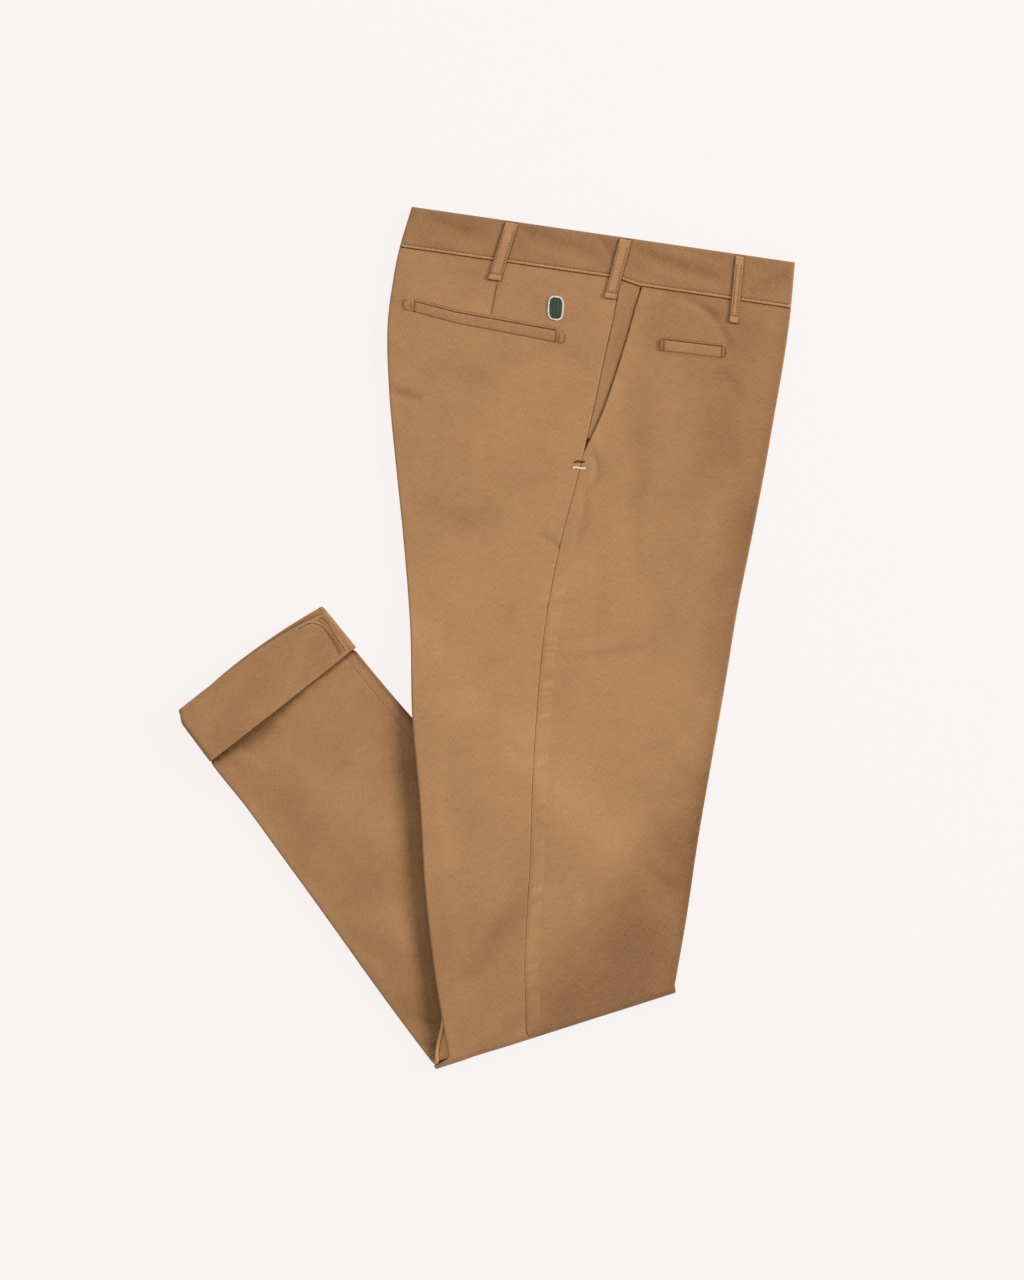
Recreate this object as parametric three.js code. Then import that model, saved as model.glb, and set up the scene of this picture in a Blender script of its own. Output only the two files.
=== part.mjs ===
// Chino trousers in cotton twill, folded lengthwise with the wearer's right side up, and laid flat with
// the lower legs folded under and out to the left. Millimetres, +Y to the waist, +Z up from the surface.
import * as THREE from 'three';

// How the cloth lies. A level counts from the stack's lower face upwards, before the legs fold under.
const cloth = 1.4;
const seamGap = 0.3;
const lipRadius = (2 * cloth + 0.35) / 2;
const legHeight = 2 * lipRadius;
const leftOuter = seamGap / 2;
const rightOuter = leftOuter + 2 * legHeight + seamGap;
const foldHeight = rightOuter;
const restLift = -leftOuter;

// Axes of the two stretches: the thigh runs from the waist's middle to the fold's, the calf back up.
const waistMiddle = new THREE.Vector2(100.4, 345.9);
const foldMiddle = new THREE.Vector2(60.8, -330.2);
const hemMiddle = new THREE.Vector2(-202.3, -19.4);
const thighLength = waistMiddle.distanceTo(foldMiddle);
const calfLength = foldMiddle.distanceTo(hemMiddle);
const thighDirection = foldMiddle.clone().sub(waistMiddle).normalize();
const calfDirection = hemMiddle.clone().sub(foldMiddle).normalize();
const waistTilt = -8.27;
const foldTilt = 17.7;
const hemTilt = 36.2;
const straightWaist = 60;

// Half widths of the folded legs, from the axis to the back edge and to the front edge, and the side
// seams' places on the axis' scale. "down" is the way along the axis.
const thighSections = [
  { down: 0, back: 166.0, front: 166.4, rightSeam: 14.9, leftSeam: 20 },
  { down: 36, back: 174.4, front: 165.3, rightSeam: 14.8, leftSeam: 20 },
  { down: 60, back: 178.0, front: 163.9, rightSeam: 13.8, leftSeam: 20 },
  { down: 100, back: 180.6, front: 160.4, rightSeam: 7.7, leftSeam: 20 },
  { down: 150, back: 175.5, front: 155.0, rightSeam: 0.2, leftSeam: 19 },
  { down: 200, back: 167.0, front: 149.9, rightSeam: -8.1, leftSeam: 18 },
  { down: 260, back: 156.5, front: 143.0, rightSeam: -20.3, leftSeam: 18 },
  { down: 330, back: 146.6, front: 134.7, rightSeam: -30.2, leftSeam: 20 },
  { down: 400, back: 141.2, front: 128.9, rightSeam: -33.5, leftSeam: 24 },
  { down: 470, back: 131.3, front: 122.5, rightSeam: -34.0, leftSeam: 29 },
  { down: 540, back: 123.7, front: 116.3, rightSeam: -32.5, leftSeam: 34 },
  { down: 610, back: 112.1, front: 111.8, rightSeam: -32.9, leftSeam: 39 },
  { down: 677.2, back: 97.5, front: 105.8, rightSeam: -28.0, leftSeam: 43 },
];
const calfSections = [
  { down: 0, back: 112.8, front: 104.0, rightSeam: -20, leftSeam: 46 },
  { down: 50, back: 108.4, front: 98.1, rightSeam: -14, leftSeam: 50 },
  { down: 100, back: 103.6, front: 92.5, rightSeam: -8, leftSeam: 54 },
  { down: 150, back: 98.5, front: 87.3, rightSeam: -4, leftSeam: 57 },
  { down: 200, back: 93.8, front: 82.3, rightSeam: 0, leftSeam: 60 },
  { down: 250, back: 89.6, front: 78.4, rightSeam: 4, leftSeam: 61.5 },
  { down: 300, back: 85.6, front: 75.8, rightSeam: 8, leftSeam: 63 },
  { down: 340, back: 83.8, front: 75.6, rightSeam: 10, leftSeam: 63.8 },
  { down: 407.2, back: 79.6, front: 76.6, rightSeam: 12, leftSeam: 64.5 },
];

// The thigh lies on the calf up to the calf's hidden front edge, then drops to the surface beside it.
const hiddenEdgeStart = new THREE.Vector2(159.7, -305.7);
const hiddenEdgeEnd = new THREE.Vector2(-64.7, -69.2);
const edgeMargin = 15;
const dropWidth = 75;

// Soft fullness over the hips, and the rise of the two hems onto their turn-ups.
const fullness = { height: 0.34, down: 150, spreadDown: 150, spreadAcross: 105 };
const waistFullness = { height: 0.1, spreadDown: 60 };
const fullnessEnd = { from: 420, over: 220 };
const rise = { from: 300, to: 352, left: 6.9, right: 2.35 };
const rightLegShift = 0.7;
const standOut = { thigh: 13, calf: 5, ear: 9, from: 640, over: 37, until: 150 };

// Sizes of the sewn-on pieces.
const waistbandHeight = { back: 35.9, front: 39.6, left: 37.5 };
const bandStep = { from: 14.8, to: 33.2 };
const waistband = { proud: 0.2, thickness: 3.35 };
const bandStops = { back: [-145, -115, -85, -55, -25, -5], front: [60, 90, 120, 145] };
const pocketMouthEnd = 188;
const pocketMouth = [
  { down: 36, across: 33.2 },
  { down: 60, across: 32.1 },
  { down: 100, across: 21.9 },
  { down: 150, across: 7.4 },
  { down: 188, across: -5.9 },
];
const mouthLip = { height: 0.9, reach: 14 };
const facingThickness = 1.0;
const facingEnd = 170;
const beltLoops = [
  { name: 'belt_loop_back', top: -79.0, bottom: -91.3, length: 52.6, width: 11.6 },
  { name: 'belt_loop_side', top: 19.5, bottom: 8.9, length: 54.1, width: 10.8 },
  { name: 'belt_loop_front', top: 118.7, bottom: 116.5, length: 59.4, width: 7.6 },
];
const loopThickness = 1.6;
const loopStart = 1.9;
const loopStops = [0, 0.12, 0.3, 0.5, 0.62, 0.71, 0.8, 0.9, 1];
const loopBow = { height: 1.3, until: 0.78 };
const backWelt = { startDown: 83.5, startAcross: -162, endDown: 92.6, endAcross: -31.5, height: 10.5 };
const coinWelt = { startDown: 88.2, startAcross: 55.5, endDown: 87.5, endAcross: 109.5, height: 11.5 };
const weltThickness = 1.1;
const weltStops = [
  { share: 0, narrow: 0.55 }, { share: 0.02, narrow: 0.85 }, { share: 0.05, narrow: 1 },
  { share: 0.2, narrow: 1 }, { share: 0.4, narrow: 1 }, { share: 0.6, narrow: 1 }, { share: 0.8, narrow: 1 },
  { share: 0.95, narrow: 1 }, { share: 0.98, narrow: 0.85 }, { share: 1, narrow: 0.55 },
];
const cuff = { wall: 2.0, height: 7.75, slit: 0.7, halfWidth: 76, columns: 7 };
const cuffBulge = { height: 2.6, across: -34, spread: 30, over: 34 };
const freeEdge = { middle: 359.2, slant: 0.073 };
const turnEdge = {
  left: { middle: 410.5, back: 3, front: 7.5 },
  right: { middle: 412.6, back: 6.5, front: 4 },
};
const coreInset = 4.2;
const coreStart = 42;
const coreEnd = 352;
const panelEndGap = 4.2;
const lipReturn = 1.5;
const tubeInset = { amount: 2.3, from: 340, over: 10 };
const hiddenReturn = 6;

// Rows of points down the leg, and columns across each panel.
const thighRows = [60, 95, 135, 180, 225, 262, 290, 316, 341, 366, 391, 415, 439, 463, 487, 511, 535, 559,
  583, 606, 628, 650, 677.2];
const noseTurns = [60, 30, 0, -30, -60];
const calfRows = [0, 60, 120, 180, 240, 300, 313, 326, 339, 352];
const hiddenRows = [358, 382, 400];
const columns = 5;

// The middle of the whole outline, which is the part's origin.
const centre = new THREE.Vector2(-0.4, -0.17);
const twill = new THREE.MeshStandardMaterial({ color: 0xa87c53, roughness: 0.9, metalness: 0 });
const twillInside = new THREE.MeshStandardMaterial({ color: 0xa3744c, roughness: 0.92, metalness: 0 });

const mix = (a, b, share) => a + (b - a) * share;
const clamp = (value) => Math.min(1, Math.max(0, value));
const soft = (value) => clamp(value) ** 2 * (3 - 2 * clamp(value));
const bell = (value) => Math.exp(-value * value / 2);
const radians = THREE.MathUtils.degToRad;

// A table's column at a place along the axis, on a smooth curve through the rows.
function read(table, down, column) {
  const last = table.length - 1;
  let row = 0;
  while (row < last - 1 && down > table[row + 1].down) row += 1;
  const [a, b] = [table[row], table[row + 1]];
  const before = table[Math.max(0, row - 1)];
  const after = table[Math.min(last, row + 2)];
  const span = b.down - a.down;
  const share = clamp((down - a.down) / span);
  const slopeA = (b[column] - before[column]) / (b.down - before.down) * span;
  const slopeB = (after[column] - a[column]) / (after.down - a.down) * span;
  const square = share * share;
  const cube = square * share;
  return a[column] * (2 * cube - 3 * square + 1) + slopeA * (cube - 2 * square + share)
    + b[column] * (3 * square - 2 * cube) + slopeB * (cube - square);
}

// The way down from the calf to the surface beside it, and how far a line between two points runs that
// way. Each square of the cloth is parted along the line that runs least that way.
const hiddenEdge = hiddenEdgeEnd.clone().sub(hiddenEdgeStart).normalize();
const dropDirection = new THREE.Vector2(hiddenEdge.y, -hiddenEdge.x);
function acrossDrop(from, to) {
  const [x, y] = [to.x - from.x, to.y - from.y];
  return Math.abs(x * dropDirection.x + y * dropDirection.y) / (Math.hypot(x, y) + 1e-6);
}

// Height of the lower face of the thigh: on the calf, on the surface, or easing from one to the other.
function thighLift(plan) {
  const share = clamp((plan.clone().sub(hiddenEdgeStart).dot(dropDirection) - edgeMargin) / dropWidth);
  const eased = share < 0.5 ? 2 * share * share : 1 - 2 * (1 - share) * (1 - share);
  return mix(foldHeight, restLift, eased);
}

// How much the layers stand apart in the thigh.
function loft(down, across) {
  const hips = bell((down - fullness.down) / fullness.spreadDown) * bell(across / fullness.spreadAcross);
  const waist = bell(down / waistFullness.spreadDown);
  const nearFold = 1 - soft((down - fullnessEnd.from) / fullnessEnd.over);
  return 1 + (fullness.height * hips + waistFullness.height * waist) * nearFold;
}

// How far a hem is lifted onto its turn-up. The left leg lies over the right one there.
function hemLift(down, level) {
  const leg = soft((level - legHeight - leftOuter) / seamGap);
  return mix(rise.left, rise.right, leg) * soft((down - rise.from) / (rise.to - rise.from));
}

const stretchTilt = {
  thigh: (down) => mix(waistTilt, foldTilt, clamp((down - straightWaist) / (thighLength - straightWaist))),
  calf: (down) => mix(foldTilt, hemTilt, down / calfLength),
};

// A point of the trousers from its place on the cloth: a row, the way across, and the level.
function place(row, across, level) {
  const calf = row.zone === 'calf';
  const [start, direction] = calf ? [foldMiddle, calfDirection] : [waistMiddle, thighDirection];
  const tilt = radians(row.zone === 'nose' ? foldTilt : stretchTilt[row.zone](row.down));
  const plan = row.zone === 'nose' ? foldMiddle.clone() : start.clone().addScaledVector(direction, row.down);
  plan.x += across * Math.cos(tilt);
  plan.y += across * Math.sin(tilt);
  let z;
  if (row.zone === 'thigh') {
    z = thighLift(plan) + leftOuter + loft(row.down, across) * (level - leftOuter);
  }
  if (row.zone === 'calf') z = foldHeight - level + hemLift(row.down, level);
  if (row.zone === 'nose') {
    plan.x += Math.sin(tilt) * level * Math.cos(row.turn);
    plan.y -= Math.cos(tilt) * level * Math.cos(row.turn);
    z = foldHeight + level * Math.sin(row.turn);
  }
  return new THREE.Vector3(plan.x - centre.x, plan.y - centre.y, z);
}

// The width table's values at a row, eased round the fold.
function width(row, column) {
  if (row.zone === 'thigh') return read(thighSections, row.down, column);
  if (row.zone === 'calf') return read(calfSections, row.down, column);
  const share = (Math.PI / 2 - row.turn) / Math.PI;
  return mix(read(thighSections, thighLength, column), read(calfSections, 0, column), share);
}

const thighRow = (down) => ({ zone: 'thigh', down });
const calfRow = (down) => ({ zone: 'calf', down });
const noseRow = (degrees) => ({ zone: 'nose', down: 0, turn: radians(degrees) });

// The waistband's lower edge. On the right it steps down over the pocket's facing.
function bandEdge(across, leg) {
  if (!leg.right) return waistbandHeight.left;
  const share = clamp((across - bandStep.from) / (bandStep.to - bandStep.from));
  return mix(waistbandHeight.back, waistbandHeight.front, share);
}

// How far one leg's back edge lies from the table's near the fold: the left leg stands out behind the
// right one there, and the right leg's cloth spreads to a small ear at the fold's end.
function backExtra(row, leg) {
  const share = (Math.PI / 2 - row.turn) / Math.PI;
  if (leg.right) {
    if (row.zone === 'thigh') return 0;
    if (row.zone === 'calf') return -standOut.calf * (1 - soft(row.down / standOut.until));
    return standOut.ear * Math.sin(Math.PI * share) - standOut.calf * share;
  }
  if (row.zone === 'thigh') return standOut.thigh * soft((row.down - standOut.from) / standOut.over);
  return row.zone === 'calf' ? 0 : standOut.thigh * (1 - share);
}

// The edges of one leg's tube. The right leg's hem is shifted a little to the front.
function edges(row, leg) {
  const calf = row.zone === 'calf';
  const hem = calf ? soft((row.down - rise.from) / (rise.to - rise.from)) : 0;
  const shift = leg.right ? rightLegShift * hem : 0;
  const inset = tubeInset.amount * (calf ? soft((row.down - tubeInset.from) / tubeInset.over) : 0);
  const back = width(row, 'back') + backExtra(row, leg);
  const seam = width(row, leg.right ? 'rightSeam' : 'leftSeam') + shift;
  return { back: -back + inset + shift, front: width(row, 'front') - inset + shift, seam };
}

// The turn-up's two ends: the free edge that lies up the leg, and the edge where the hem turns.
const freeEdgeAt = (across) => freeEdge.middle + freeEdge.slant * across;
function turnEdgeAt(across, leg) {
  const { middle, back, front } = leg.right ? turnEdge.right : turnEdge.left;
  return middle - (across < 0 ? back : front) * (across / cuff.halfWidth) ** 2;
}

// A closed solid from rings with the same number of points, with flat caps at both ends.
function loftRings(rings, capPoints) {
  const size = rings[0].length;
  const points = rings.flat();
  const index = [];
  for (let ring = 0; ring + 1 < rings.length; ring += 1) {
    for (let i = 0; i < size; i += 1) {
      const next = (i + 1) % size;
      const [low, high] = [ring * size, (ring + 1) * size];
      const [a, b, c, d] = [low + i, low + next, high + next, high + i];
      const first = acrossDrop(points[a], points[c]) < acrossDrop(points[b], points[d]);
      index.push(...(first ? [a, b, c, a, c, d] : [a, b, d, b, c, d]));
    }
  }
  const end = (rings.length - 1) * size;
  const reversed = THREE.ShapeUtils.isClockWise(capPoints);
  for (const [a, b, c] of THREE.ShapeUtils.triangulateShape(capPoints, [])) {
    if (reversed) index.push(a, b, c, end + a, end + c, end + b);
    else index.push(a, c, b, end + a, end + b, end + c);
  }
  return solid(points, index);
}

// The geometry of a closed body, turned so that its faces point outwards.
function solid(points, index) {
  let volume = 0;
  for (let i = 0; i < index.length; i += 3) {
    const [a, b, c] = [points[index[i]], points[index[i + 1]], points[index[i + 2]]];
    volume += a.dot(b.clone().cross(c)) / 6;
  }
  if (volume < 0) {
    for (let i = 0; i < index.length; i += 3) [index[i], index[i + 1]] = [index[i + 1], index[i]];
  }
  const geometry = new THREE.BufferGeometry();
  const numbers = points.flatMap((point) => point.toArray());
  geometry.setAttribute('position', new THREE.Float32BufferAttribute(numbers, 3));
  geometry.setIndex(index);
  geometry.computeVertexNormals();
  return geometry;
}

// One leg's panel. Its wall lies between the side seam and the leg's edge, rounds the edge as a lip and
// turns in under itself; at the hem it goes on to the inseam.
function panelRing(row, leg, side, seamAt) {
  const edge = edges(row, leg);
  const outward = side === 'back' ? -1 : 1;
  const lipCentre = edge[side] - outward * lipRadius;
  const seam = (seamAt ?? edge.seam) + outward * seamGap / 2;
  const hidden = row.zone === 'calf' ? soft((row.down - coreEnd) / hiddenReturn) : 0;
  const middle = (edge.back + edge.front) / 2 + outward * seamGap / 2;
  const reach = mix(lipCentre - outward * lipReturn, middle, hidden);
  const ring = [];
  const add = (across, depth) => ring.push({ across, level: leg.outer + leg.inward * depth });
  const addTurn = (turn, radius) => add(lipCentre + outward * radius * Math.sin(radians(turn)),
    lipRadius - radius * Math.cos(radians(turn)));
  for (let i = 0; i <= columns; i += 1) add(mix(seam, lipCentre, i / columns), 0);
  for (const turn of [45, 90, 135, 180]) addTurn(turn, lipRadius);
  add(reach, 2 * lipRadius);
  add(reach, 2 * lipRadius - cloth);
  for (const turn of [180, 90, 0]) addTurn(turn, lipRadius - cloth);
  for (let i = columns - 1; i >= 0; i -= 1) add(mix(seam, lipCentre, i / columns), cloth);
  return ring;
}

const rightLeg = { right: true, outer: rightOuter, inward: -1 };
const leftLeg = { right: false, outer: leftOuter, inward: 1 };
const path = [...thighRows.map(thighRow), ...noseTurns.map(noseRow), ...calfRows.map(calfRow),
  ...hiddenRows.map(calfRow)];

// The line that parts a front from a back: the side seam, or the slanted pocket mouth above its end.
const mouthAt = (down) => read(pocketMouth, down, 'across');
const hasMouth = (row, leg, side) => leg.right && side === 'front' && row.zone === 'thigh'
  && row.down < pocketMouthEnd;

function panel(leg, side) {
  const topRow = thighRow(leg.right ? waistbandHeight[side] : waistbandHeight.left);
  const rings = [topRow, ...path].map((row, order) => {
    const mouth = hasMouth(row, leg, side);
    const seamAt = mouth ? mouthAt(row.down) : undefined;
    return panelRing(row, leg, side, seamAt).map(({ across, level }) => {
      let { down } = row;
      if (order === 0) down += seamGap;
      if (order === path.length) down = turnEdgeAt(across, leg) - panelEndGap;
      const lip = mouth ? mouthLip.height * soft(1 - (across - seamAt) / mouthLip.reach) : 0;
      return place({ ...row, down }, across, level + lip);
    });
  });
  const capPoints = panelRing(topRow, leg, side).map(({ across, level }) => new THREE.Vector2(across, level));
  return loftRings(rings, capPoints);
}

// The hidden inner halves of both legs, rounded at the edges and set in from the outer walls' lips.
function coreRing(row) {
  const right = edges(row, rightLeg);
  const left = edges(row, leftLeg);
  const [low, high] = [leftOuter + cloth + seamGap, rightOuter - cloth - seamGap];
  const radius = (high - low) / 2;
  const back = Math.max(right.back, left.back) + coreInset + radius;
  const front = Math.min(right.front, left.front) - coreInset - radius;
  const ring = [];
  const add = (across, level) => ring.push({ across, level });
  const addTurn = (from, side, turn) => add(from + side * radius * Math.sin(radians(turn)),
    (low + high) / 2 + radius * Math.cos(radians(turn)));
  for (let i = 0; i < columns; i += 1) add(mix(back, right.seam, i / columns), high);
  for (let i = 0; i <= columns; i += 1) add(mix(right.seam, front, i / columns), high);
  for (const turn of [45, 90, 135]) addTurn(front, 1, turn);
  for (let i = 0; i < columns; i += 1) add(mix(front, left.seam, i / columns), low);
  for (let i = 0; i <= columns; i += 1) add(mix(left.seam, back, i / columns), low);
  for (const turn of [135, 90, 45]) addTurn(back, -1, turn);
  return ring;
}

function foldedLayers() {
  const rows = [thighRow(coreStart), ...path.slice(0, -hiddenRows.length)];
  const rings = rows.map((row) => coreRing(row).map(({ across, level }) => place(row, across, level)));
  return loftRings(rings, coreRing(rows[0]).map(({ across, level }) => new THREE.Vector2(across, level)));
}

// Half of the waistband: a folded strip with a rounded top edge and rounded ends.
function waistbandHalf(low, leg) {
  const half = waistband.thickness / 2;
  const middle = low + half;
  const profile = [
    { down: (edge) => edge, out: 1 }, { down: (edge) => edge / 2, out: 1 }, { down: () => half, out: 1 },
    { down: () => half * (1 - Math.SQRT1_2), out: Math.SQRT1_2 }, { down: () => 0, out: 0 },
    { down: () => half * (1 - Math.SQRT1_2), out: -Math.SQRT1_2 },
    { down: () => half, out: -1 }, { down: (edge) => edge / 2, out: -1 }, { down: (edge) => edge, out: -1 },
  ];
  const lowRow = thighRow(waistbandHeight.back);
  const [back, front] = [width(lowRow, 'back'), width(lowRow, 'front')];
  const endSteps = [0.15, 0.6, half];
  const stops = [...endSteps.map((step) => step - back), ...bandStops.back, bandStep.from, bandStep.to,
    ...bandStops.front, ...endSteps.map((step) => front - step).reverse()];
  const rings = stops.map((stop) => {
    const fromEnd = Math.min(stop + back, front - stop, half);
    const roundness = Math.sqrt(1 - ((half - fromEnd) / half) ** 2);
    const share = (stop + back) / (back + front);
    return profile.map(({ down, out }) => {
      const row = thighRow(down(bandEdge(stop, leg)));
      const across = mix(-width(row, 'back'), width(row, 'front'), share);
      return place(row, across, middle + half * out * roundness);
    });
  });
  return loftRings(rings, profile.map(({ down, out }) => new THREE.Vector2(down(waistbandHeight.back), out)));
}

// The panel's outer level at a place on the right side, the waistband's above its lower edge.
function surfaceLevel(down, across) {
  if (down < bandEdge(across, rightLeg) + seamGap) return rightOuter + waistband.proud;
  const fromMouth = across - mouthAt(down);
  return rightOuter + (fromMouth > 0 ? mouthLip.height * soft(1 - fromMouth / mouthLip.reach) : 0);
}

// A flat strip with softened edges that lies on the right side along a line, at a height over it.
function stripOn(line, halfWidth, thickness, alongDown, surface) {
  const section = [[-1, 0], [-1, 0.6], [-0.86, 1], [0.86, 1], [1, 0.6], [1, 0]];
  const rings = line.map((point) => section.map(([side, up]) => {
    const offset = side * halfWidth * (point.narrow ?? 1);
    const down = point.down + (alongDown ? 0 : offset);
    const across = point.across + (alongDown ? offset : 0);
    const base = surface(point, down, across) + seamGap + (point.bow ?? 0);
    return place(thighRow(down), across, base + up * thickness);
  }));
  return loftRings(rings, section.map(([side, up]) => new THREE.Vector2(side * halfWidth, up * thickness)));
}

function beltLoop({ top, bottom, length, width: loopWidth }) {
  const line = loopStops.map((share) => ({
    down: mix(loopStart, length, share),
    across: mix(top, bottom, share),
    bow: loopBow.height * Math.sin(Math.PI * clamp(share / loopBow.until)) ** 2,
  }));
  const highest = ({ down, across }) => Math.max(rightOuter + waistband.proud,
    surfaceLevel(down, across + loopWidth / 2), surfaceLevel(down, across - loopWidth / 2));
  return stripOn(line, loopWidth / 2, loopThickness, true, highest);
}

function welt({ startDown, startAcross, endDown, endAcross, height }) {
  const line = weltStops.map(({ share, narrow }) => ({
    down: mix(startDown, endDown, share),
    across: mix(startAcross, endAcross, share),
    narrow,
  }));
  return stripOn(line, height / 2, weltThickness, false, () => rightOuter);
}

// The facing between the side seam and the slanted pocket mouth, level with the back panel's wall.
function pocketFacing() {
  const rows = [waistbandHeight.back, ...thighRows.slice(0, 3), facingEnd];
  const [low, high] = [rightOuter - cloth, rightOuter - cloth + facingThickness];
  const rings = rows.map((down, order) => {
    const [from, to] = [width(thighRow(down), 'rightSeam') + seamGap / 2, mouthAt(down) - seamGap / 2];
    const corners = [[from, low], [from, high], [mix(from, to, 0.5), high], [to, high], [to, low]];
    return corners.map(([across, level]) => {
      const at = order === 0 ? bandEdge(across, rightLeg) + seamGap : down;
      return place(thighRow(at), across, level);
    });
  });
  const cap = [[0, 0], [0, 1], [0.5, 1], [1, 1], [1, 0]];
  return loftRings(rings, cap.map(([x, y]) => new THREE.Vector2(x, y)));
}

// A turned-up hem: the cloth's edge folded out and back up over the leg as a flattened ring.
function turnUp(leg) {
  const middle = leg.right ? cuff.height / 2 : cuff.height * 1.5 + seamGap;
  const { wall, columns: straight } = cuff;
  const lip = (cuff.height - cuff.slit) / 2;
  const profile = [
    { free: 0, inset: 0.7 }, { free: 0.7, inset: 0 }, { free: 22, inset: 0 }, { turn: 2.2, inset: 0 },
    { turn: 0.7, inset: 0.7 }, { turn: 0, inset: 2.0 }, { turn: 0.3, inset: lip }, { turn: 2, inset: lip },
    { turn: 2.2, inset: wall }, { free: 22, inset: wall }, { free: 0.5, inset: wall },
  ];
  const around = [];
  for (let i = 0; i <= straight; i += 1) around.push({ share: i / straight, up: 1, end: 0 });
  for (const turn of [45, 90, 135]) {
    around.push({ share: 1, up: Math.cos(radians(turn)), end: Math.sin(radians(turn)) });
  }
  for (let i = straight; i >= 0; i -= 1) around.push({ share: i / straight, up: -1, end: 0 });
  for (const turn of [135, 90, 45]) {
    around.push({ share: 0, up: Math.cos(radians(turn)), end: -Math.sin(radians(turn)) });
  }
  const radius = cuff.height / 2;
  const shift = leg.right ? rightLegShift : 0;
  const points = around.flatMap(({ share, up, end }) => profile.map(({ free, turn, inset }) => {
    const rough = mix(-cuff.halfWidth, cuff.halfWidth, share);
    const down = free === undefined ? turnEdgeAt(rough, leg) - turn : freeEdgeAt(rough) + free;
    const row = calfRow(down);
    const [back, front] = [-width(row, 'back') + radius + shift, width(row, 'front') - radius + shift];
    const across = mix(back, front, share) + end * (radius - inset);
    const slack = leg.right || up < 0 ? 0 : up * bell((across - cuffBulge.across) / cuffBulge.spread);
    const point = place(row, across, 0);
    point.z = middle + up * (radius - inset)
      + cuffBulge.height * slack * (1 - soft((down - freeEdgeAt(rough)) / cuffBulge.over));
    return point;
  }));
  const index = [];
  const size = profile.length;
  for (let i = 0; i < around.length; i += 1) {
    const other = (i + 1) % around.length;
    for (let j = 0; j < size; j += 1) {
      const next = (j + 1) % size;
      index.push(i * size + j, other * size + j, other * size + next);
      index.push(i * size + j, other * size + next, i * size + next);
    }
  }
  return solid(points, index);
}

const trousers = new THREE.Group();
function add(name, geometry, material) {
  const mesh = new THREE.Mesh(geometry, material);
  mesh.name = name;
  trousers.add(mesh);
}

add('right_back_panel', panel(rightLeg, 'back'), twill);
add('right_front_panel', panel(rightLeg, 'front'), twill);
add('left_back_panel', panel(leftLeg, 'back'), twill);
add('left_front_panel', panel(leftLeg, 'front'), twill);
add('folded_layers', foldedLayers(), twillInside);
add('right_pocket_facing', pocketFacing(), twill);
add('waistband_right', waistbandHalf(rightOuter + waistband.proud - waistband.thickness, rightLeg), twill);
add('waistband_left', waistbandHalf(leftOuter, leftLeg), twill);
for (const loop of beltLoops) add(loop.name, beltLoop(loop), twill);
add('back_pocket_welt', welt(backWelt), twill);
add('coin_pocket_welt', welt(coinWelt), twill);
add('left_cuff', turnUp(leftLeg), twillInside);
add('right_cuff', turnUp(rightLeg), twillInside);

export default trousers;
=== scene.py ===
import math

import bmesh
import bpy
import numpy as np
from mathutils import Matrix, Vector, noise


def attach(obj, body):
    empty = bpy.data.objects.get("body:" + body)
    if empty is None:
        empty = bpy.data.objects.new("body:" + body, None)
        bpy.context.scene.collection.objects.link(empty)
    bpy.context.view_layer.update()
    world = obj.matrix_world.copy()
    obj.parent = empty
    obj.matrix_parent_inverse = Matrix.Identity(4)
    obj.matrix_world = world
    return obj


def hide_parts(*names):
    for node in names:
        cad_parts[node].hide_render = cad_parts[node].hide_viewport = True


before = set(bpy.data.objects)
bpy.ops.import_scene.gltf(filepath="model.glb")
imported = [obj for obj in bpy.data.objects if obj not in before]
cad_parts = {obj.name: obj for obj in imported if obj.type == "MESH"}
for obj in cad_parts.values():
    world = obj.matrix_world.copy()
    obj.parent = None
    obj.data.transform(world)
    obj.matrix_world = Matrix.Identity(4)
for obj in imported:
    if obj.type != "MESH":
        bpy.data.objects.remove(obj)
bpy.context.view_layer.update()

# The stage: a pale floor under the trousers, and a camera that looks straight down at them from three
# metres, as in a shop's flat-lay picture. One soft light stands to the right and one beyond the waist,
# and the pale world fills what they leave.
camera_height = 3.058
camera_place = (0.0225, -0.002)
lens = 100
frame_height = 36
floor_tone = (0.03, 0.03, 0.03, 1)
floor_glow = (0.896, 0.856, 0.84, 1)
floor_reach = 9
floor_drop = 0.0004
room_tone = (1, 0.99, 0.975, 1)
room_strength = 0.42
soft_lights = [
    {"name": "side_light", "place": (5.4, 1.5, 2.5), "size": 1.5, "watts": 380, "tone": (1, 0.985, 0.965)},
    {"name": "waist_light", "place": (-1.2, 4.6, 5.2), "size": 2.6, "watts": 190, "tone": (1, 0.99, 0.98)},
]

bpy.context.scene.view_settings.view_transform = "Standard"
camera = bpy.data.objects.new("camera", bpy.data.cameras.new("camera"))
camera.location = (*camera_place, camera_height)
camera.data.lens = lens
camera.data.sensor_fit = "VERTICAL"
camera.data.sensor_height = frame_height
bpy.context.collection.objects.link(camera)
bpy.context.scene.camera = camera

for light in soft_lights:
    lamp = bpy.data.objects.new(light["name"], bpy.data.lights.new(light["name"], "AREA"))
    lamp.data.size = light["size"]
    lamp.data.energy = light["watts"]
    lamp.data.color = light["tone"]
    lamp.location = light["place"]
    lamp.rotation_euler = (-Vector(light["place"])).to_track_quat("-Z", "Y").to_euler()
    bpy.context.collection.objects.link(lamp)

world = bpy.data.worlds.new("pale_room")
world.use_nodes = True
world.node_tree.nodes["Background"].inputs["Color"].default_value = room_tone
world.node_tree.nodes["Background"].inputs["Strength"].default_value = room_strength
bpy.context.scene.world = world

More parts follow.
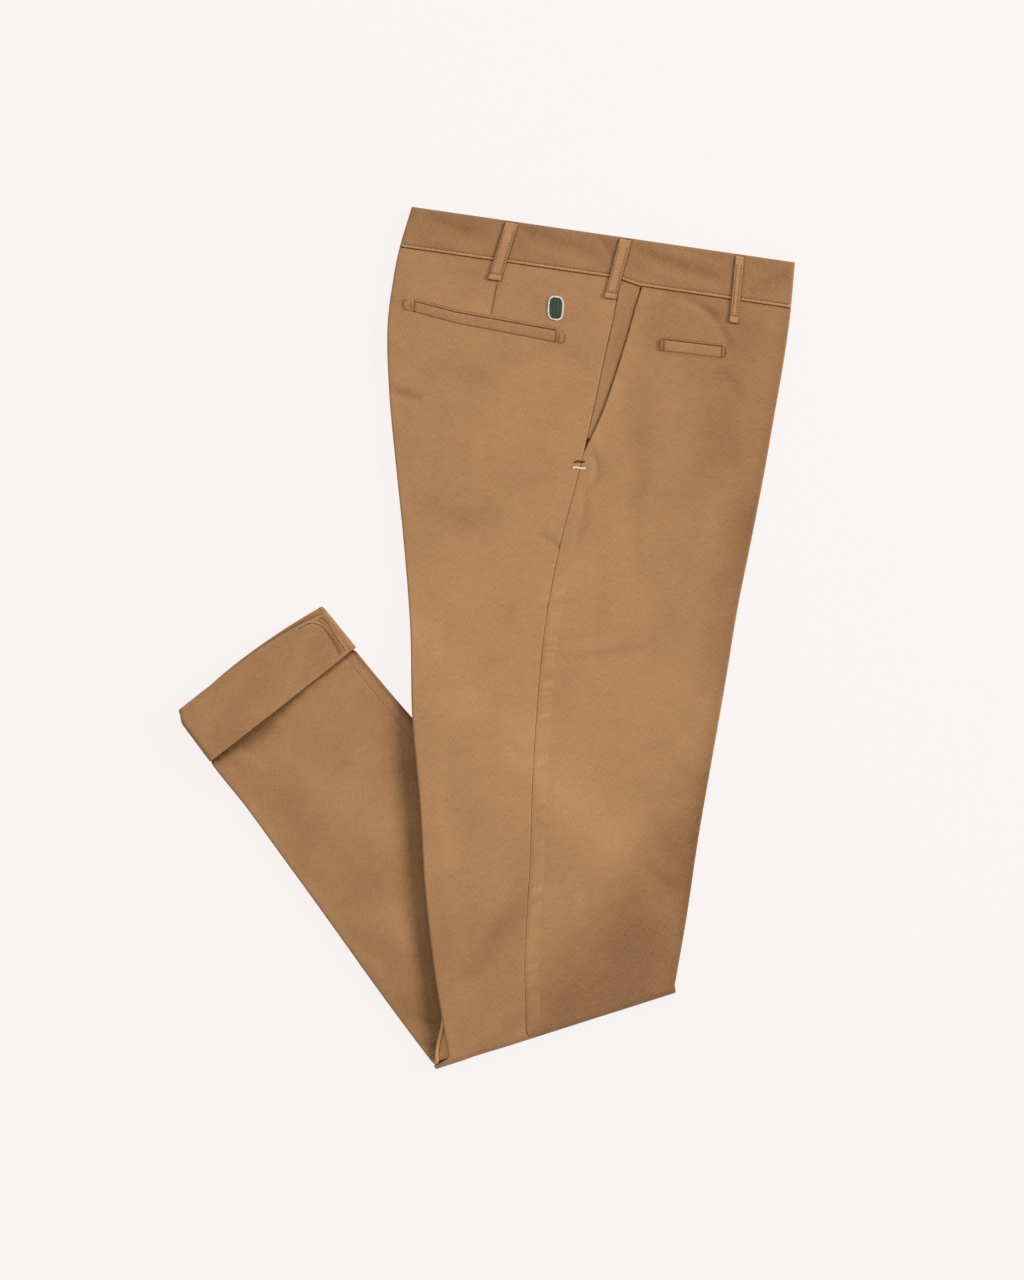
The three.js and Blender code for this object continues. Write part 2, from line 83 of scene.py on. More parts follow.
bm = bmesh.new()
bmesh.ops.create_grid(bm, x_segments=1, y_segments=1, size=floor_reach)
bmesh.ops.translate(bm, verts=bm.verts, vec=(0, 0, -floor_drop))
floor_mesh = bpy.data.meshes.new("floor")
bm.to_mesh(floor_mesh)
bm.free()
floor = bpy.data.objects.new("floor", floor_mesh)
floor_paint = bpy.data.materials.new("floor")
floor_paint.use_nodes = True
floor_shader = floor_paint.node_tree.nodes["Principled BSDF"]
floor_shader.inputs["Base Color"].default_value = floor_tone
floor_shader.inputs["Roughness"].default_value = 0.9
floor_shader.inputs["Emission Color"].default_value = floor_glow
floor_shader.inputs["Emission Strength"].default_value = 1
floor_mesh.materials.append(floor_paint)
bpy.context.collection.objects.link(floor)

# The right leg's back panel: one piece of cotton twill from the waist seam to the hem, between the side
# seam and the leg's back edge, where it rounds the edge and turns in. Measures here are millimetres of
# cloth: "along" runs down the leg, round the fold and back up the lower leg, and "across" runs over it.
millimetre = 0.001
right_outer = 6.75
left_outer = 0.15
fold_height = right_outer
rest_lift = -left_outer
lip_radius = 1.575
waist_middle = np.array((100.4, 345.9))
fold_middle = np.array((60.8, -330.2))
hem_middle = np.array((-202.3, -19.4))
frame_centre = np.array((-0.4, -0.17))
thigh_length = float(np.linalg.norm(fold_middle - waist_middle))
calf_length = float(np.linalg.norm(hem_middle - fold_middle))
thigh_way = (fold_middle - waist_middle) / thigh_length
calf_way = (hem_middle - fold_middle) / calf_length
fold_span = 21.2
calf_start = thigh_length + fold_span
waist_tilt, fold_tilt, hem_tilt = -8.27, 17.7, 36.2
straight_waist = 60

thigh_cut = {
    "down": (0, 36, 60, 100, 150, 200, 260, 330, 400, 470, 540, 610, 677.2),
    "back": (166.0, 174.4, 178.0, 180.6, 175.5, 167.0, 156.5, 146.6, 141.2, 131.3, 123.7, 112.1, 97.5),
    "front": (166.4, 165.3, 163.9, 160.4, 155.0, 149.9, 143.0, 134.7, 128.9, 122.5, 116.3, 111.8, 105.8),
    "right_seam": (14.9, 14.8, 13.8, 7.7, 0.2, -8.1, -20.3, -30.2, -33.5, -34.0, -32.5, -32.9, -28.0),
    "left_seam": (20, 20, 20, 20, 19, 18, 18, 20, 24, 29, 34, 39, 43),
}
calf_cut = {
    "down": (0, 50, 100, 150, 200, 250, 300, 340, 407.2),
    "back": (112.8, 108.4, 103.6, 98.5, 93.8, 89.6, 85.6, 83.8, 79.6),
    "front": (104.0, 98.1, 92.5, 87.3, 82.3, 78.4, 75.8, 75.6, 76.6),
    "right_seam": (-20, -14, -8, -4, 0, 4, 8, 10, 12),
    "left_seam": (46, 50, 54, 57, 60, 61.5, 63, 63.8, 64.5),
}
pocket_mouth = {
    "down": (36, 41, 54.5, 69, 94, 136, 159, 188), "across": (35.8, 34.7, 31.9, 29.0, 23.6, 13.0, 5.8, -5.9),
}
pocket_mouth_end = 188

hidden_edge_start = np.array((159.7, -305.7))
hidden_edge_end = np.array((-64.7, -69.2))
edge_margin, drop_width = 15, 75
fullness = {"height": 0.34, "down": 150, "spread_down": 150, "spread_across": 105}
waist_fullness = {"height": 0.1, "spread_down": 60}
fullness_end = {"from": 420, "over": 220}
rise = {"from": 300, "over": 52, "left": 6.9, "right": 2.35}
stand_out = {"thigh": 12.2, "calf": 5, "ear": 9, "from": 640, "over": 37, "until": 150}
right_leg_shift = 0.7
tube_inset = {"amount": 3.5, "back": 350, "front": 363.5, "over": 9}
corner_pull = {"amount": 4.2, "from": 396, "over": 12}
turn_edge = {
    "left": {"middle": 410.5, "back": 1.4, "front": 7.5},
    "right": {"middle": 412.6, "back": 6.5, "front": 4},
}
cuff_half_width = 76
panel_end_gap = 4.2
band_back, band_front, band_left = 35.9, 39.6, 37.5
band_step = (14.8, 33.2)
seam_gap = 0.3
seam_slit = 0.08
hem_trim = {"left": -1.2, "right": -4.5, "from": 90, "over": 110}


def mix(a, b, share):
    return a + (b - a) * share


def soft(value):
    value = np.clip(value, 0, 1)
    return value * value * (3 - 2 * value)


def bell(value):
    return np.exp(-np.square(value) / 2)


def read(table, down, column):
    """A column of a table at a place along the leg, on a smooth curve through its rows."""
    downs, values = np.array(table["down"], float), np.array(table[column], float)
    last = len(downs) - 1
    row = np.clip(np.searchsorted(downs[1:], down), 0, last - 1)
    before, after = np.maximum(row - 1, 0), np.minimum(row + 2, last)
    span = downs[row + 1] - downs[row]
    share = np.clip((down - downs[row]) / span, 0, 1)
    slope_a = (values[row + 1] - values[before]) / (downs[row + 1] - downs[before]) * span
    slope_b = (values[after] - values[row]) / (downs[after] - downs[row]) * span
    square, cube = share ** 2, share ** 3
    start = values[row] * (2 * cube - 3 * square + 1) + slope_a * (cube - 2 * square + share)
    return start + values[row + 1] * (3 * square - 2 * cube) + slope_b * (cube - square)


def parts_of(along):
    """The place on the thigh, the place on the lower leg, and the share of the fold that is passed."""
    thigh = np.minimum(along, thigh_length)
    calf = np.maximum(along - calf_start, 0)
    return thigh, calf, np.clip((along - thigh_length) / fold_span, 0, 1)


def place(along, across, level):
    """Points in metres for places on the cloth. A level counts up from the stack's lower face.

    The thigh lies on the lower leg, drops to the floor beside it, and stands fuller over the hips."""
    thigh, calf, share = parts_of(along)
    turn = math.pi * (0.5 - share)
    bent = np.clip((thigh - straight_waist) / (thigh_length - straight_waist), 0, 1)
    thigh_tilt = mix(waist_tilt, fold_tilt, bent)
    tilt = np.radians(np.where(share < 1, thigh_tilt, mix(fold_tilt, hem_tilt, calf / calf_length)))
    x = waist_middle[0] + thigh_way[0] * thigh + calf_way[0] * calf + across * np.cos(tilt)
    y = waist_middle[1] + thigh_way[1] * thigh + calf_way[1] * calf + across * np.sin(tilt)
    x = x + np.sin(tilt) * level * np.cos(turn)
    y = y - np.cos(tilt) * level * np.cos(turn)
    drop = (hidden_edge_end - hidden_edge_start) / np.linalg.norm(hidden_edge_end - hidden_edge_start)
    from_edge = (x - hidden_edge_start[0]) * drop[1] - (y - hidden_edge_start[1]) * drop[0]
    fallen = np.clip((from_edge - edge_margin) / drop_width, 0, 1)
    eased = np.where(fallen < 0.5, 2 * fallen ** 2, 1 - 2 * (1 - fallen) ** 2)
    hips = bell((thigh - fullness["down"]) / fullness["spread_down"])
    hips = hips * bell(across / fullness["spread_across"])
    waist = bell(thigh / waist_fullness["spread_down"])
    near_fold = 1 - soft((thigh - fullness_end["from"]) / fullness_end["over"])
    loft = 1 + (fullness["height"] * hips + waist_fullness["height"] * waist) * near_fold
    on_thigh = mix(fold_height, rest_lift, eased) + left_outer + loft * (level - left_outer)
    is_right = soft((level - 2 * lip_radius - left_outer) / seam_gap)
    lift = mix(rise["left"], rise["right"], is_right) * soft((calf - rise["from"]) / rise["over"])
    on_calf = fold_height - level + lift
    z = np.where(share <= 0, on_thigh, np.where(share >= 1, on_calf, fold_height + level * np.sin(turn)))
    return np.stack((x - frame_centre[0], y - frame_centre[1], z), axis=-1) * millimetre


def width(along, column):
    """A column of the two cut tables at a place along the leg, eased from one to the other in the fold."""
    thigh, calf, share = parts_of(along)
    return mix(read(thigh_cut, thigh, column), read(calf_cut, calf, column), share)


def corner_pull_at(calf):
    """How far the back corner of a turned hem is drawn in."""
    return corner_pull["amount"] * soft((calf - corner_pull["from"]) / corner_pull["over"])


def edges(along, leg):
    """The back edge, the front edge and the side seam of one leg's flattened tube."""
    thigh, calf, share = parts_of(along)
    hem = soft((calf - rise["from"]) / rise["over"]) * (calf > 0)
    inset = {
        side: tube_inset["amount"] * soft((calf - tube_inset[side]) / tube_inset["over"])
        for side in ("back", "front")
    }
    if leg == "right":
        extra = stand_out["ear"] * np.sin(math.pi * share)
        extra = extra - stand_out["calf"] * share * (1 - soft(calf / stand_out["until"]))
        shift = right_leg_shift * hem
    else:
        extra = stand_out["thigh"] * soft((thigh - stand_out["from"]) / stand_out["over"]) * (1 - share)
        shift = 0 * hem
    back = -(width(along, "back") + extra) + inset["back"] + corner_pull_at(calf) + shift
    trim = hem_trim[leg] * soft((calf - hem_trim["from"]) / hem_trim["over"])
    front = width(along, "front") + trim - inset["front"] + shift
    return back, front, width(along, leg + "_seam") + shift


def band_edge(across, leg="right"):
    """The waistband's lower edge. On the right it steps down over the pocket's facing."""
    if leg == "left":
        return band_left + 0 * across
    return mix(band_back, band_front, np.clip((across - band_step[0]) / (band_step[1] - band_step[0]), 0, 1))


def turn_edge_at(across, leg):
    """Where a hem is turned, counted down from the fold: a shallow arc that falls to both sides."""
    sizes = turn_edge[leg]
    fall = np.where(across < 0, sizes["back"], sizes["front"])
    return sizes["middle"] - fall * (across / cuff_half_width) ** 2


def rounded(line):
    """A line with its corners cut twice, so that it bends softly."""
    points = np.array(line, float)
    for _ in range(2):
        near, far = points[:-1], points[1:]
        inner = np.stack((0.75 * near + 0.25 * far, 0.25 * near + 0.75 * far), axis=1).reshape(-1, 2)
        points = np.vstack((points[:1], inner, points[-1:]))
    return points


def crease(along, across, line, width, depth, ends=0.7):
    """One crease's height over the cloth: a soft trough or ridge on a line, running out at both ends."""
    points = rounded(line)
    nearest = np.full(np.shape(along), 1e6)
    way = np.zeros(np.shape(along))
    for i in range(len(points) - 1):
        start, step = points[i], points[i + 1] - points[i]
        reach = (along - start[0]) * step[0] + (across - start[1]) * step[1]
        share = np.clip(reach / (step @ step), 0, 1)
        distance = np.hypot(along - start[0] - share * step[0], across - start[1] - share * step[1])
        way = np.where(distance < nearest, (i + share) / (len(points) - 1), way)
        nearest = np.minimum(distance, nearest)
    return depth * np.exp(-(nearest / width) ** 2) * np.sin(math.pi * way) ** ends


def creases(along, across, table):
    """The height of all of a table's creases together."""
    height = np.zeros(np.shape(along))
    for row in table:
        height = height + crease(along, across, row["line"], row["width"], row["depth"])
    return height


def ripple(along, across, size, seed):
    """Gentle unevenness of the cloth, from -1 to 1, with waves of about one size."""
    flat = zip(np.ravel(along) / size, np.ravel(across) / size)
    values = [noise.noise((a, b, seed)) for a, b in flat]
    return np.reshape(values, np.shape(along))


def spots(along, across, table):
    """Soft lighter or darker places of the cloth."""
    tone = np.zeros(np.shape(along))
    for row in table:
        at, reach = row["at"], row["reach"]
        tone = tone + row["tone"] * bell((along - at[0]) / reach[0]) * bell((across - at[1]) / reach[1])
    return tone


def cloth_piece(name, points, cloth, shade_and_tone, facing=None, wall=0, merge=False):
    """A grid of points made a piece of cloth, with its place on the cloth as its UV map, in millimetres."""
    rows, columns = points.shape[:2]
    bm = bmesh.new()
    bmesh.ops.create_grid(bm, x_segments=columns - 1, y_segments=rows - 1, size=1)
    # Each vertex's tone, painted shade and light among it, goes to the material as an attribute.
    tone = bm.verts.layers.float.new("shade_and_tone")
    uv = bm.loops.layers.uv.new("cloth")
    spot_of = {}
    for vert in bm.verts:
        column = round((vert.co.x + 1) / 2 * (columns - 1))
        row = round((vert.co.y + 1) / 2 * (rows - 1))
        spot_of[vert] = (row, column)
    for vert, spot in spot_of.items():
        vert.co = points[spot]
        vert[tone] = shade_and_tone[spot]
    for face in bm.faces:
        face.smooth = True
        for loop in face.loops:
            loop[uv].uv = cloth[spot_of[loop.vert]]
    if merge:
        bmesh.ops.remove_doubles(bm, verts=bm.verts, dist=2e-6)
        bmesh.ops.dissolve_degenerate(bm, edges=bm.edges, dist=1e-6)
        bmesh.ops.recalc_face_normals(bm, faces=bm.faces)
    else:
        bm.normal_update()
        total = sum((face.normal * face.calc_area() for face in bm.faces), Vector())
        if total.dot(Vector(facing)) < 0:
            bmesh.ops.reverse_faces(bm, faces=bm.faces)
    mesh = bpy.data.meshes.new(name)
    bm.to_mesh(mesh)
    bm.free()
    piece = bpy.data.objects.new(name, mesh)
    bpy.context.collection.objects.link(piece)
    if wall:
        thicken = piece.modifiers.new("wall", "SOLIDIFY")
        thicken.thickness = wall * millimetre
        thicken.offset = -1
    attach(piece, "root")
    return piece


def shader_node(tree, kind, settings=None, **inputs):
    """One node of a shader, its inputs set or linked by name, or by number as i0, i1 and so on."""
    made = tree.nodes.new(kind)
    for key, value in (settings or {}).items():
        setattr(made, key, value)
    for key, value in inputs.items():
        socket = made.inputs[int(key[1:])] if key[0] == "i" and key[1:].isdigit() else made.inputs[key]
        if isinstance(value, bpy.types.NodeSocket):
            tree.links.new(value, socket)
        else:
            socket.default_value = value
    return made


def group_shell(name, inputs, outputs):
    """An empty shader group with its named sockets."""
    tree = bpy.data.node_groups.new(name, "ShaderNodeTree")
    for label, kind, value in inputs:
        socket = tree.interface.new_socket(label, in_out="INPUT", socket_type=kind)
        if value is not None:
            socket.default_value = value
    for label in outputs:
        tree.interface.new_socket(label, in_out="OUTPUT", socket_type="NodeSocketFloat")
    return tree, tree.nodes.new("NodeGroupInput"), tree.nodes.new("NodeGroupOutput")


def math_node(tree, operation, first, second=0.0):
    return shader_node(tree, "ShaderNodeMath", {"operation": operation}, i0=first, i1=second).outputs[0]


def noise_node(tree, where, scale, detail):
    return shader_node(tree, "ShaderNodeTexNoise", Vector=where, Scale=scale, Detail=detail).outputs[0]


def colour_mix(tree, share, dark, light):
    """A colour between a dark and a light one. Sockets 6 and 7 and output 2 are the mix's colours."""
    blend = shader_node(tree, "ShaderNodeMix", {"data_type": "RGBA"}, i0=share)
    blend.inputs[6].default_value = (*dark, 1)
    blend.inputs[7].default_value = (*light, 1)
    return blend.outputs[2]


# Twill: raised diagonal ribs, broken by uneven yarns. The height is in millimetres.
slub_stretch = (1.9, 0.34, 1.0)
rib_relief = 0.035
slub_relief = 0.16
twill_group, given, made = group_shell(
    "twill_weave",
    [
        ("Cloth", "NodeSocketVector", None),
        ("Pitch", "NodeSocketFloat", 0.8),
        ("Slant", "NodeSocketFloat", 1.3),
    ],
    ["Height", "Shade"],
)
split = shader_node(twill_group, "ShaderNodeSeparateXYZ", Vector=given.outputs["Cloth"])
slanted = math_node(twill_group, "MULTIPLY", split.outputs["Y"], given.outputs["Slant"])
yarn_wobble = noise_node(twill_group, given.outputs["Cloth"], 0.9, 2.0)
wobble = math_node(twill_group, "MULTIPLY", yarn_wobble, 0.9)
diagonal = math_node(twill_group, "ADD", math_node(twill_group, "ADD", split.outputs["X"], slanted), wobble)
ribs_passed = math_node(twill_group, "DIVIDE", diagonal, given.outputs["Pitch"])
rib = math_node(twill_group, "SINE", math_node(twill_group, "MULTIPLY", ribs_passed, math.tau))
stretched = shader_node(
    twill_group, "ShaderNodeVectorMath", {"operation": "MULTIPLY"},
    i0=given.outputs["Cloth"], i1=slub_stretch,
)
slub = math_node(twill_group, "SUBTRACT", noise_node(twill_group, stretched.outputs[0], 1.0, 3.0), 0.5)
rib_height = math_node(twill_group, "MULTIPLY", rib, rib_relief)
height = math_node(twill_group, "ADD", rib_height, math_node(twill_group, "MULTIPLY", slub, slub_relief))
shade = math_node(twill_group, "ADD", math_node(twill_group, "MULTIPLY", rib, 0.05), slub)
twill_group.links.new(height, made.inputs["Height"])
twill_group.links.new(shade, made.inputs["Shade"])

# Garment dye: the colour takes unevenly, in clouds of a few sizes.
dye_group, given, made = group_shell("garment_dye", [("Cloth", "NodeSocketVector", None)], ["Shade"])
clouds = noise_node(dye_group, given.outputs["Cloth"], 0.022, 2.0)
patches = noise_node(dye_group, given.outputs["Cloth"], 0.11, 3.0)
patch_weight = 0.55
both = math_node(dye_group, "ADD", clouds, math_node(dye_group, "MULTIPLY", patches, patch_weight))
centred = math_node(dye_group, "SUBTRACT", both, (1 + patch_weight) / 2)
dye_group.links.new(centred, made.inputs["Shade"])


dye_contrast, weave_contrast = 0.2, 0.58
cloth_roughness, weave_roughness = 0.86, 0.12
sheen_tint = (0.95, 0.8, 0.62, 1)


def twill_material(name, dark, light, middle=0.5):
    """Dyed cotton twill: the tone attribute with its painted shade and light, the dye's clouds and the weave
    set how light the colour is.
    """
    material = bpy.data.materials.new(name)
    material.use_nodes = True
    tree = material.node_tree
    surface = tree.nodes["Principled BSDF"]
    cloth = shader_node(tree, "ShaderNodeUVMap", {"uv_map": "cloth"}).outputs["UV"]
    weave = shader_node(tree, "ShaderNodeGroup", {"node_tree": twill_group}, Cloth=cloth)
    dye = shader_node(tree, "ShaderNodeGroup", {"node_tree": dye_group}, Cloth=cloth)
    # The attribute's tone holds painted shade and light as well as plain lighter and darker places of the
    # cloth.
    painted_shade_and_tone = shader_node(tree, "ShaderNodeAttribute", {"attribute_name": "shade_and_tone"}).outputs["Fac"]
    tone = math_node(tree, "ADD", painted_shade_and_tone, math_node(tree, "MULTIPLY", dye.outputs["Shade"], dye_contrast))
    tone = math_node(tree, "ADD", tone, math_node(tree, "MULTIPLY", weave.outputs["Shade"], weave_contrast))
    share = math_node(tree, "ADD", tone, middle)
    tree.links.new(colour_mix(tree, share, dark, light), surface.inputs["Base Color"])
    uneven = math_node(tree, "MULTIPLY", weave.outputs["Shade"], weave_roughness)
    rough = math_node(tree, "ADD", uneven, cloth_roughness)
    tree.links.new(rough, surface.inputs["Roughness"])
    weave_height = weave.outputs["Height"]
    bump = shader_node(tree, "ShaderNodeBump", Strength=0.6, Distance=millimetre, Height=weave_height)
    tree.links.new(bump.outputs["Normal"], surface.inputs["Normal"])
    surface.inputs["Sheen Weight"].default_value = 0.12
    surface.inputs["Sheen Roughness"].default_value = 0.55
    surface.inputs["Sheen Tint"].default_value = sheen_tint
    surface.inputs["Specular IOR Level"].default_value = 0.22
    return material


twill = twill_material("twill", (0.1, 0.042, 0.011), (0.62, 0.332, 0.152), middle=0.54)

wall = 1.0
faint_seam = 0.45
seam_roll = ((0, -0.4), (0.25, -0.2), (0.6, -0.06), (1.1, -0.01), (2.2, 0))
roll_steps, roll_drops = zip(*seam_roll)
face_depth = 0.8
# Painted light and shade on the panels: by relief, in the seam's roll, under the waist seam, and a painted
# highlight round the leg's edge.
panel_shading = {
    "raised": 0.12, "rolled": -0.05, "roll_depth": 0.4, "waist": -0.28, "waist_reach": 0.7,
    "edge": 0.06, "edge_depth": 1.4, "edge_spread": 0.8, "edge_reach": 3,
}
allowance_columns = 10
allowance_end = 14.5
lip_steps = 12
lip_return = 1.5
core_end = 352
hidden_return = 6
waist_ease = 26
large_wave, small_wave = 0.2, 0.07
underside_sink = 0.25
right_spacing, left_spacing = 2.7, 4.2
right_back_creases = [
    {"line": [(147, -178), (150, -163), (153, -147)], "width": 3.4, "depth": -1.3},
    {"line": [(136, -156), (129.5, -129), (131.5, -111), (137, -86)], "width": 9, "depth": -0.5},
    {"line": [(121, -86), (114, -61), (106, -40)], "width": 7, "depth": -0.45},
    {"line": [(230, -156), (243, -122), (251, -98), (234, -80)], "width": 13, "depth": -0.6},
    {"line": [(256, -43), (264, -28.5), (270, -19)], "width": 2.2, "depth": -0.8},
    {"line": [(320, -40), (318, -26), (316, -12)], "width": 2.6, "depth": -0.5},
    {"line": [(425, -58), (443, -46), (432, -34)], "width": 4.5, "depth": -0.5},
    {"line": [(395, -124), (469, -115), (551, -101), (640, -86)], "width": 7, "depth": 0.22},
    {"line": [(548, -32), (581, -56), (599, -69), (622, -90)], "width": 12, "depth": -0.75},
    {"line": [(688, -84), (675, -56), (660, -30)], "width": 9, "depth": -0.7},
    {"line": [(335, -70), (392, -78), (470, -70)], "width": 15, "depth": -0.4},
    {"line": [(300, -118), (330, -92), (352, -60)], "width": 12, "depth": 0.35},
    {"line": [(100, -60), (104, -30), (112, -6)], "width": 6, "depth": -0.3},
]


def leg_rows(top, spacing):
    """Places along a leg, closer where the cloth rolls into the waist seam, rounds the fold and ends."""
    start = [top + step for step in (0, 0.35, 0.8, 1.5, 2.4)]
    thigh = np.linspace(top + 2.4 + spacing, thigh_length, round((thigh_length - top) / spacing))
    fold = thigh_length + fold_span * np.linspace(0, 1, 15)[1:]
    calf = calf_start + np.linspace(0, core_end, round(core_end / spacing))[1:]
    hidden = calf_start + core_end + np.array((3, hidden_return, 9, 12, 15, 18, 26, 34, 44, 55))
    return np.concatenate((start, thigh, fold, calf, hidden))


def panel(name, leg, side, top, spacing, relief, shading_of, seam_at=None, mouth_lip=None):
    """A leg's panel: it rolls down into the seam, lies flat, rounds the leg's edge and turns in."""
    outward = -1 if side == "back" else 1
    rows = leg_rows(top, spacing)
    back, front, seam = edges(rows, leg)
    edge = back if side == "back" else front
    if seam_at is not None:
        seam = np.where(rows < pocket_mouth_end, seam_at(rows), seam)
    seam = seam + outward * seam_slit / 2
    lip_centre = edge - outward * lip_radius
    calf = np.maximum(rows - calf_start, 0)
    hidden = soft((calf - core_end) / hidden_return)
    middle = (back + front) / 2 + outward * seam_gap / 2
    reach = mix(lip_centre - outward * lip_return, middle, hidden)
    start = [seam + outward * step for step in roll_steps]
    drops = [np.full(len(rows), drop) for drop in roll_drops]
    room = np.abs(lip_centre - seam)
    band = np.minimum(allowance_end, 0.7 * room)
    shares = np.linspace(0, 1, allowance_columns + 1)[1:]
    start += [seam + outward * mix(roll_steps[-1], band, share) for share in shares]
    flat = round(float(np.max(room) - allowance_end) / spacing)
    start += [mix(seam + outward * band, lip_centre, (i + 1) / flat) for i in range(flat)]
    across = np.stack(start, axis=1)
    depth = np.zeros(across.shape)
    faint = (leg == "left") | ((side == "back") & (rows < pocket_mouth_end))
    depth[:, :len(seam_roll)] = -np.stack(drops, axis=1) * np.where(faint, faint_seam, 1)[:, None]
    turns = np.radians(np.linspace(0, 180, lip_steps + 1)[1:])
    lip_across = lip_centre[:, None] + outward * lip_radius * np.sin(turns)[None, :]
    lip_depth = np.broadcast_to(lip_radius * (1 - np.cos(turns)), lip_across.shape)
    under = np.stack((mix(lip_centre, reach, 0.5), reach), axis=1)
    across = np.concatenate((across, lip_across, under), axis=1)
    depth = np.concatenate((depth, lip_depth, np.full(under.shape, 2 * lip_radius)), axis=1)
    along = np.broadcast_to(rows[:, None], across.shape).copy()
    start_shift = band_edge(across, leg) + seam_gap - top
    along += start_shift * (1 - soft((rows - top) / waist_ease))[:, None]
    end_along = calf_start + turn_edge_at(across, leg) - panel_end_gap
    last_share = np.clip((calf[:, None] - core_end) / (calf[-1] - core_end), 0, 1)
    along = np.where(last_share > 0, mix(calf_start + core_end, end_along, last_share), along)
    from_waist = along - band_edge(across, leg) - seam_gap
    rolled = np.interp(from_waist, roll_steps, roll_drops)
    fade_out = 1 - soft(depth / lip_radius)
    height = relief(along, across) * fade_out
    if mouth_lip is not None:
        height = height + mouth_lip(along, across, seam[:, None]) * fade_out
    inward = -1 if leg == "right" else 1
    outer = right_outer if leg == "right" else left_outer
    on_face = depth < face_depth
    level = outer + inward * (depth - rolled * on_face - height)
    points = place(along, across, level)
    cloth = np.stack((across, along), axis=-1)
    facing = (0, 0, 1) if leg == "right" else (0, 0, -1)
    size = panel_shading
    # Painted light and shade: raised relief lighter and its troughs darker, the seam's roll and the strip
    # under the waist seam darker, and a painted highlight round the edge.
    tone = shading_of(along, across) + size["raised"] * np.clip(height, -1.5, 1.0)
    tone = tone + size["rolled"] * np.clip(depth / size["roll_depth"], 0, 1) * on_face
    tone = tone + size["waist"] * np.exp(-np.maximum(from_waist, 0) / size["waist_reach"])
    edge_highlight = np.exp(-((depth - size["edge_depth"]) / size["edge_spread"]) ** 2) * (depth > 0.01)
    tone = tone + size["edge"] * edge_highlight * (np.abs(across - edge[:, None]) < size["edge_reach"])
    return cloth_piece(name, points, cloth, tone, facing=facing, wall=wall)


def declare_panel(node):
    """Hides the node's part, so that the panel built above shows in its place. Its cut is the side's width
    down the leg, and rounds the edge.
    """
    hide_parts(node)


dart_fold = {"line": [(46, -87.2), (60, -89.2), (84, -92.2)], "width": 1.3, "depth": -0.55, "ends": 0.2}
# Painted shade and light on the back panel: darker by the waist and low on the thigh, lighter mid-thigh and
# near its left edge.
right_back_light_and_shade = [
    {"at": (40, -80), "reach": (50, 110), "tone": -0.05},
    {"at": (360, -30), "reach": (120, 60), "tone": 0.06},
    {"at": (610, -60), "reach": (45, 60), "tone": -0.09},
    {"at": (628, -92), "reach": (18, 14), "tone": 0.04},
]


def waviness(along, across, sizes, seed):
    """A panel's own unevenness, in a large and a small size of waves."""
    large, small = (ripple(along, across, size, seed + 7 * i) for i, size in enumerate(sizes))
    return large_wave * large + small_wave * small


def right_back_relief(along, across):
    wavy = waviness(along, across, (46, 15), 1.5)
    seam = width(along, "right_seam")
    near_seam = np.exp(-np.abs(across - seam) / 5)
    pucker = 0.16 * near_seam * ripple(along, across * 0.3, 5, 3.1)
    top_half = creases(along, across, right_back_creases) + wavy + pucker
    dart = crease(along, across, dart_fold["line"], dart_fold["width"], dart_fold["depth"], dart_fold["ends"])
    below = np.minimum(wavy - underside_sink, 0)
    return np.where(along > thigh_length + fold_span / 2, below, top_half + dart)


def right_back_shading(along, across):
    # Painted shade and light from the back panel's table.
    return spots(along, across, right_back_light_and_shade)


right_top = band_back + seam_gap
piece = panel(
    "right_back_cloth", "right", "back", right_top, right_spacing, right_back_relief, right_back_shading,
)
piece.data.materials.append(twill)
declare_panel("right_back_panel")

# The right leg's front panel: twill from the waist seam to the hem. Its upper edge is the slanted pocket
# mouth, turned under and pressed to a lip; below it the side seam's allowance lies under the front and
# shows as a low, puckered ridge.
mouth_height, mouth_reach = 0.34, 17
allowance_ridge = {
    "from": 285, "to": 668, "inner": 1.4, "outer": 10.5, "height": 0.18, "waves": 0.36, "pitch": 14,
    "drift": 2.6, "lean": 0.12, "tone": 0.1,
}
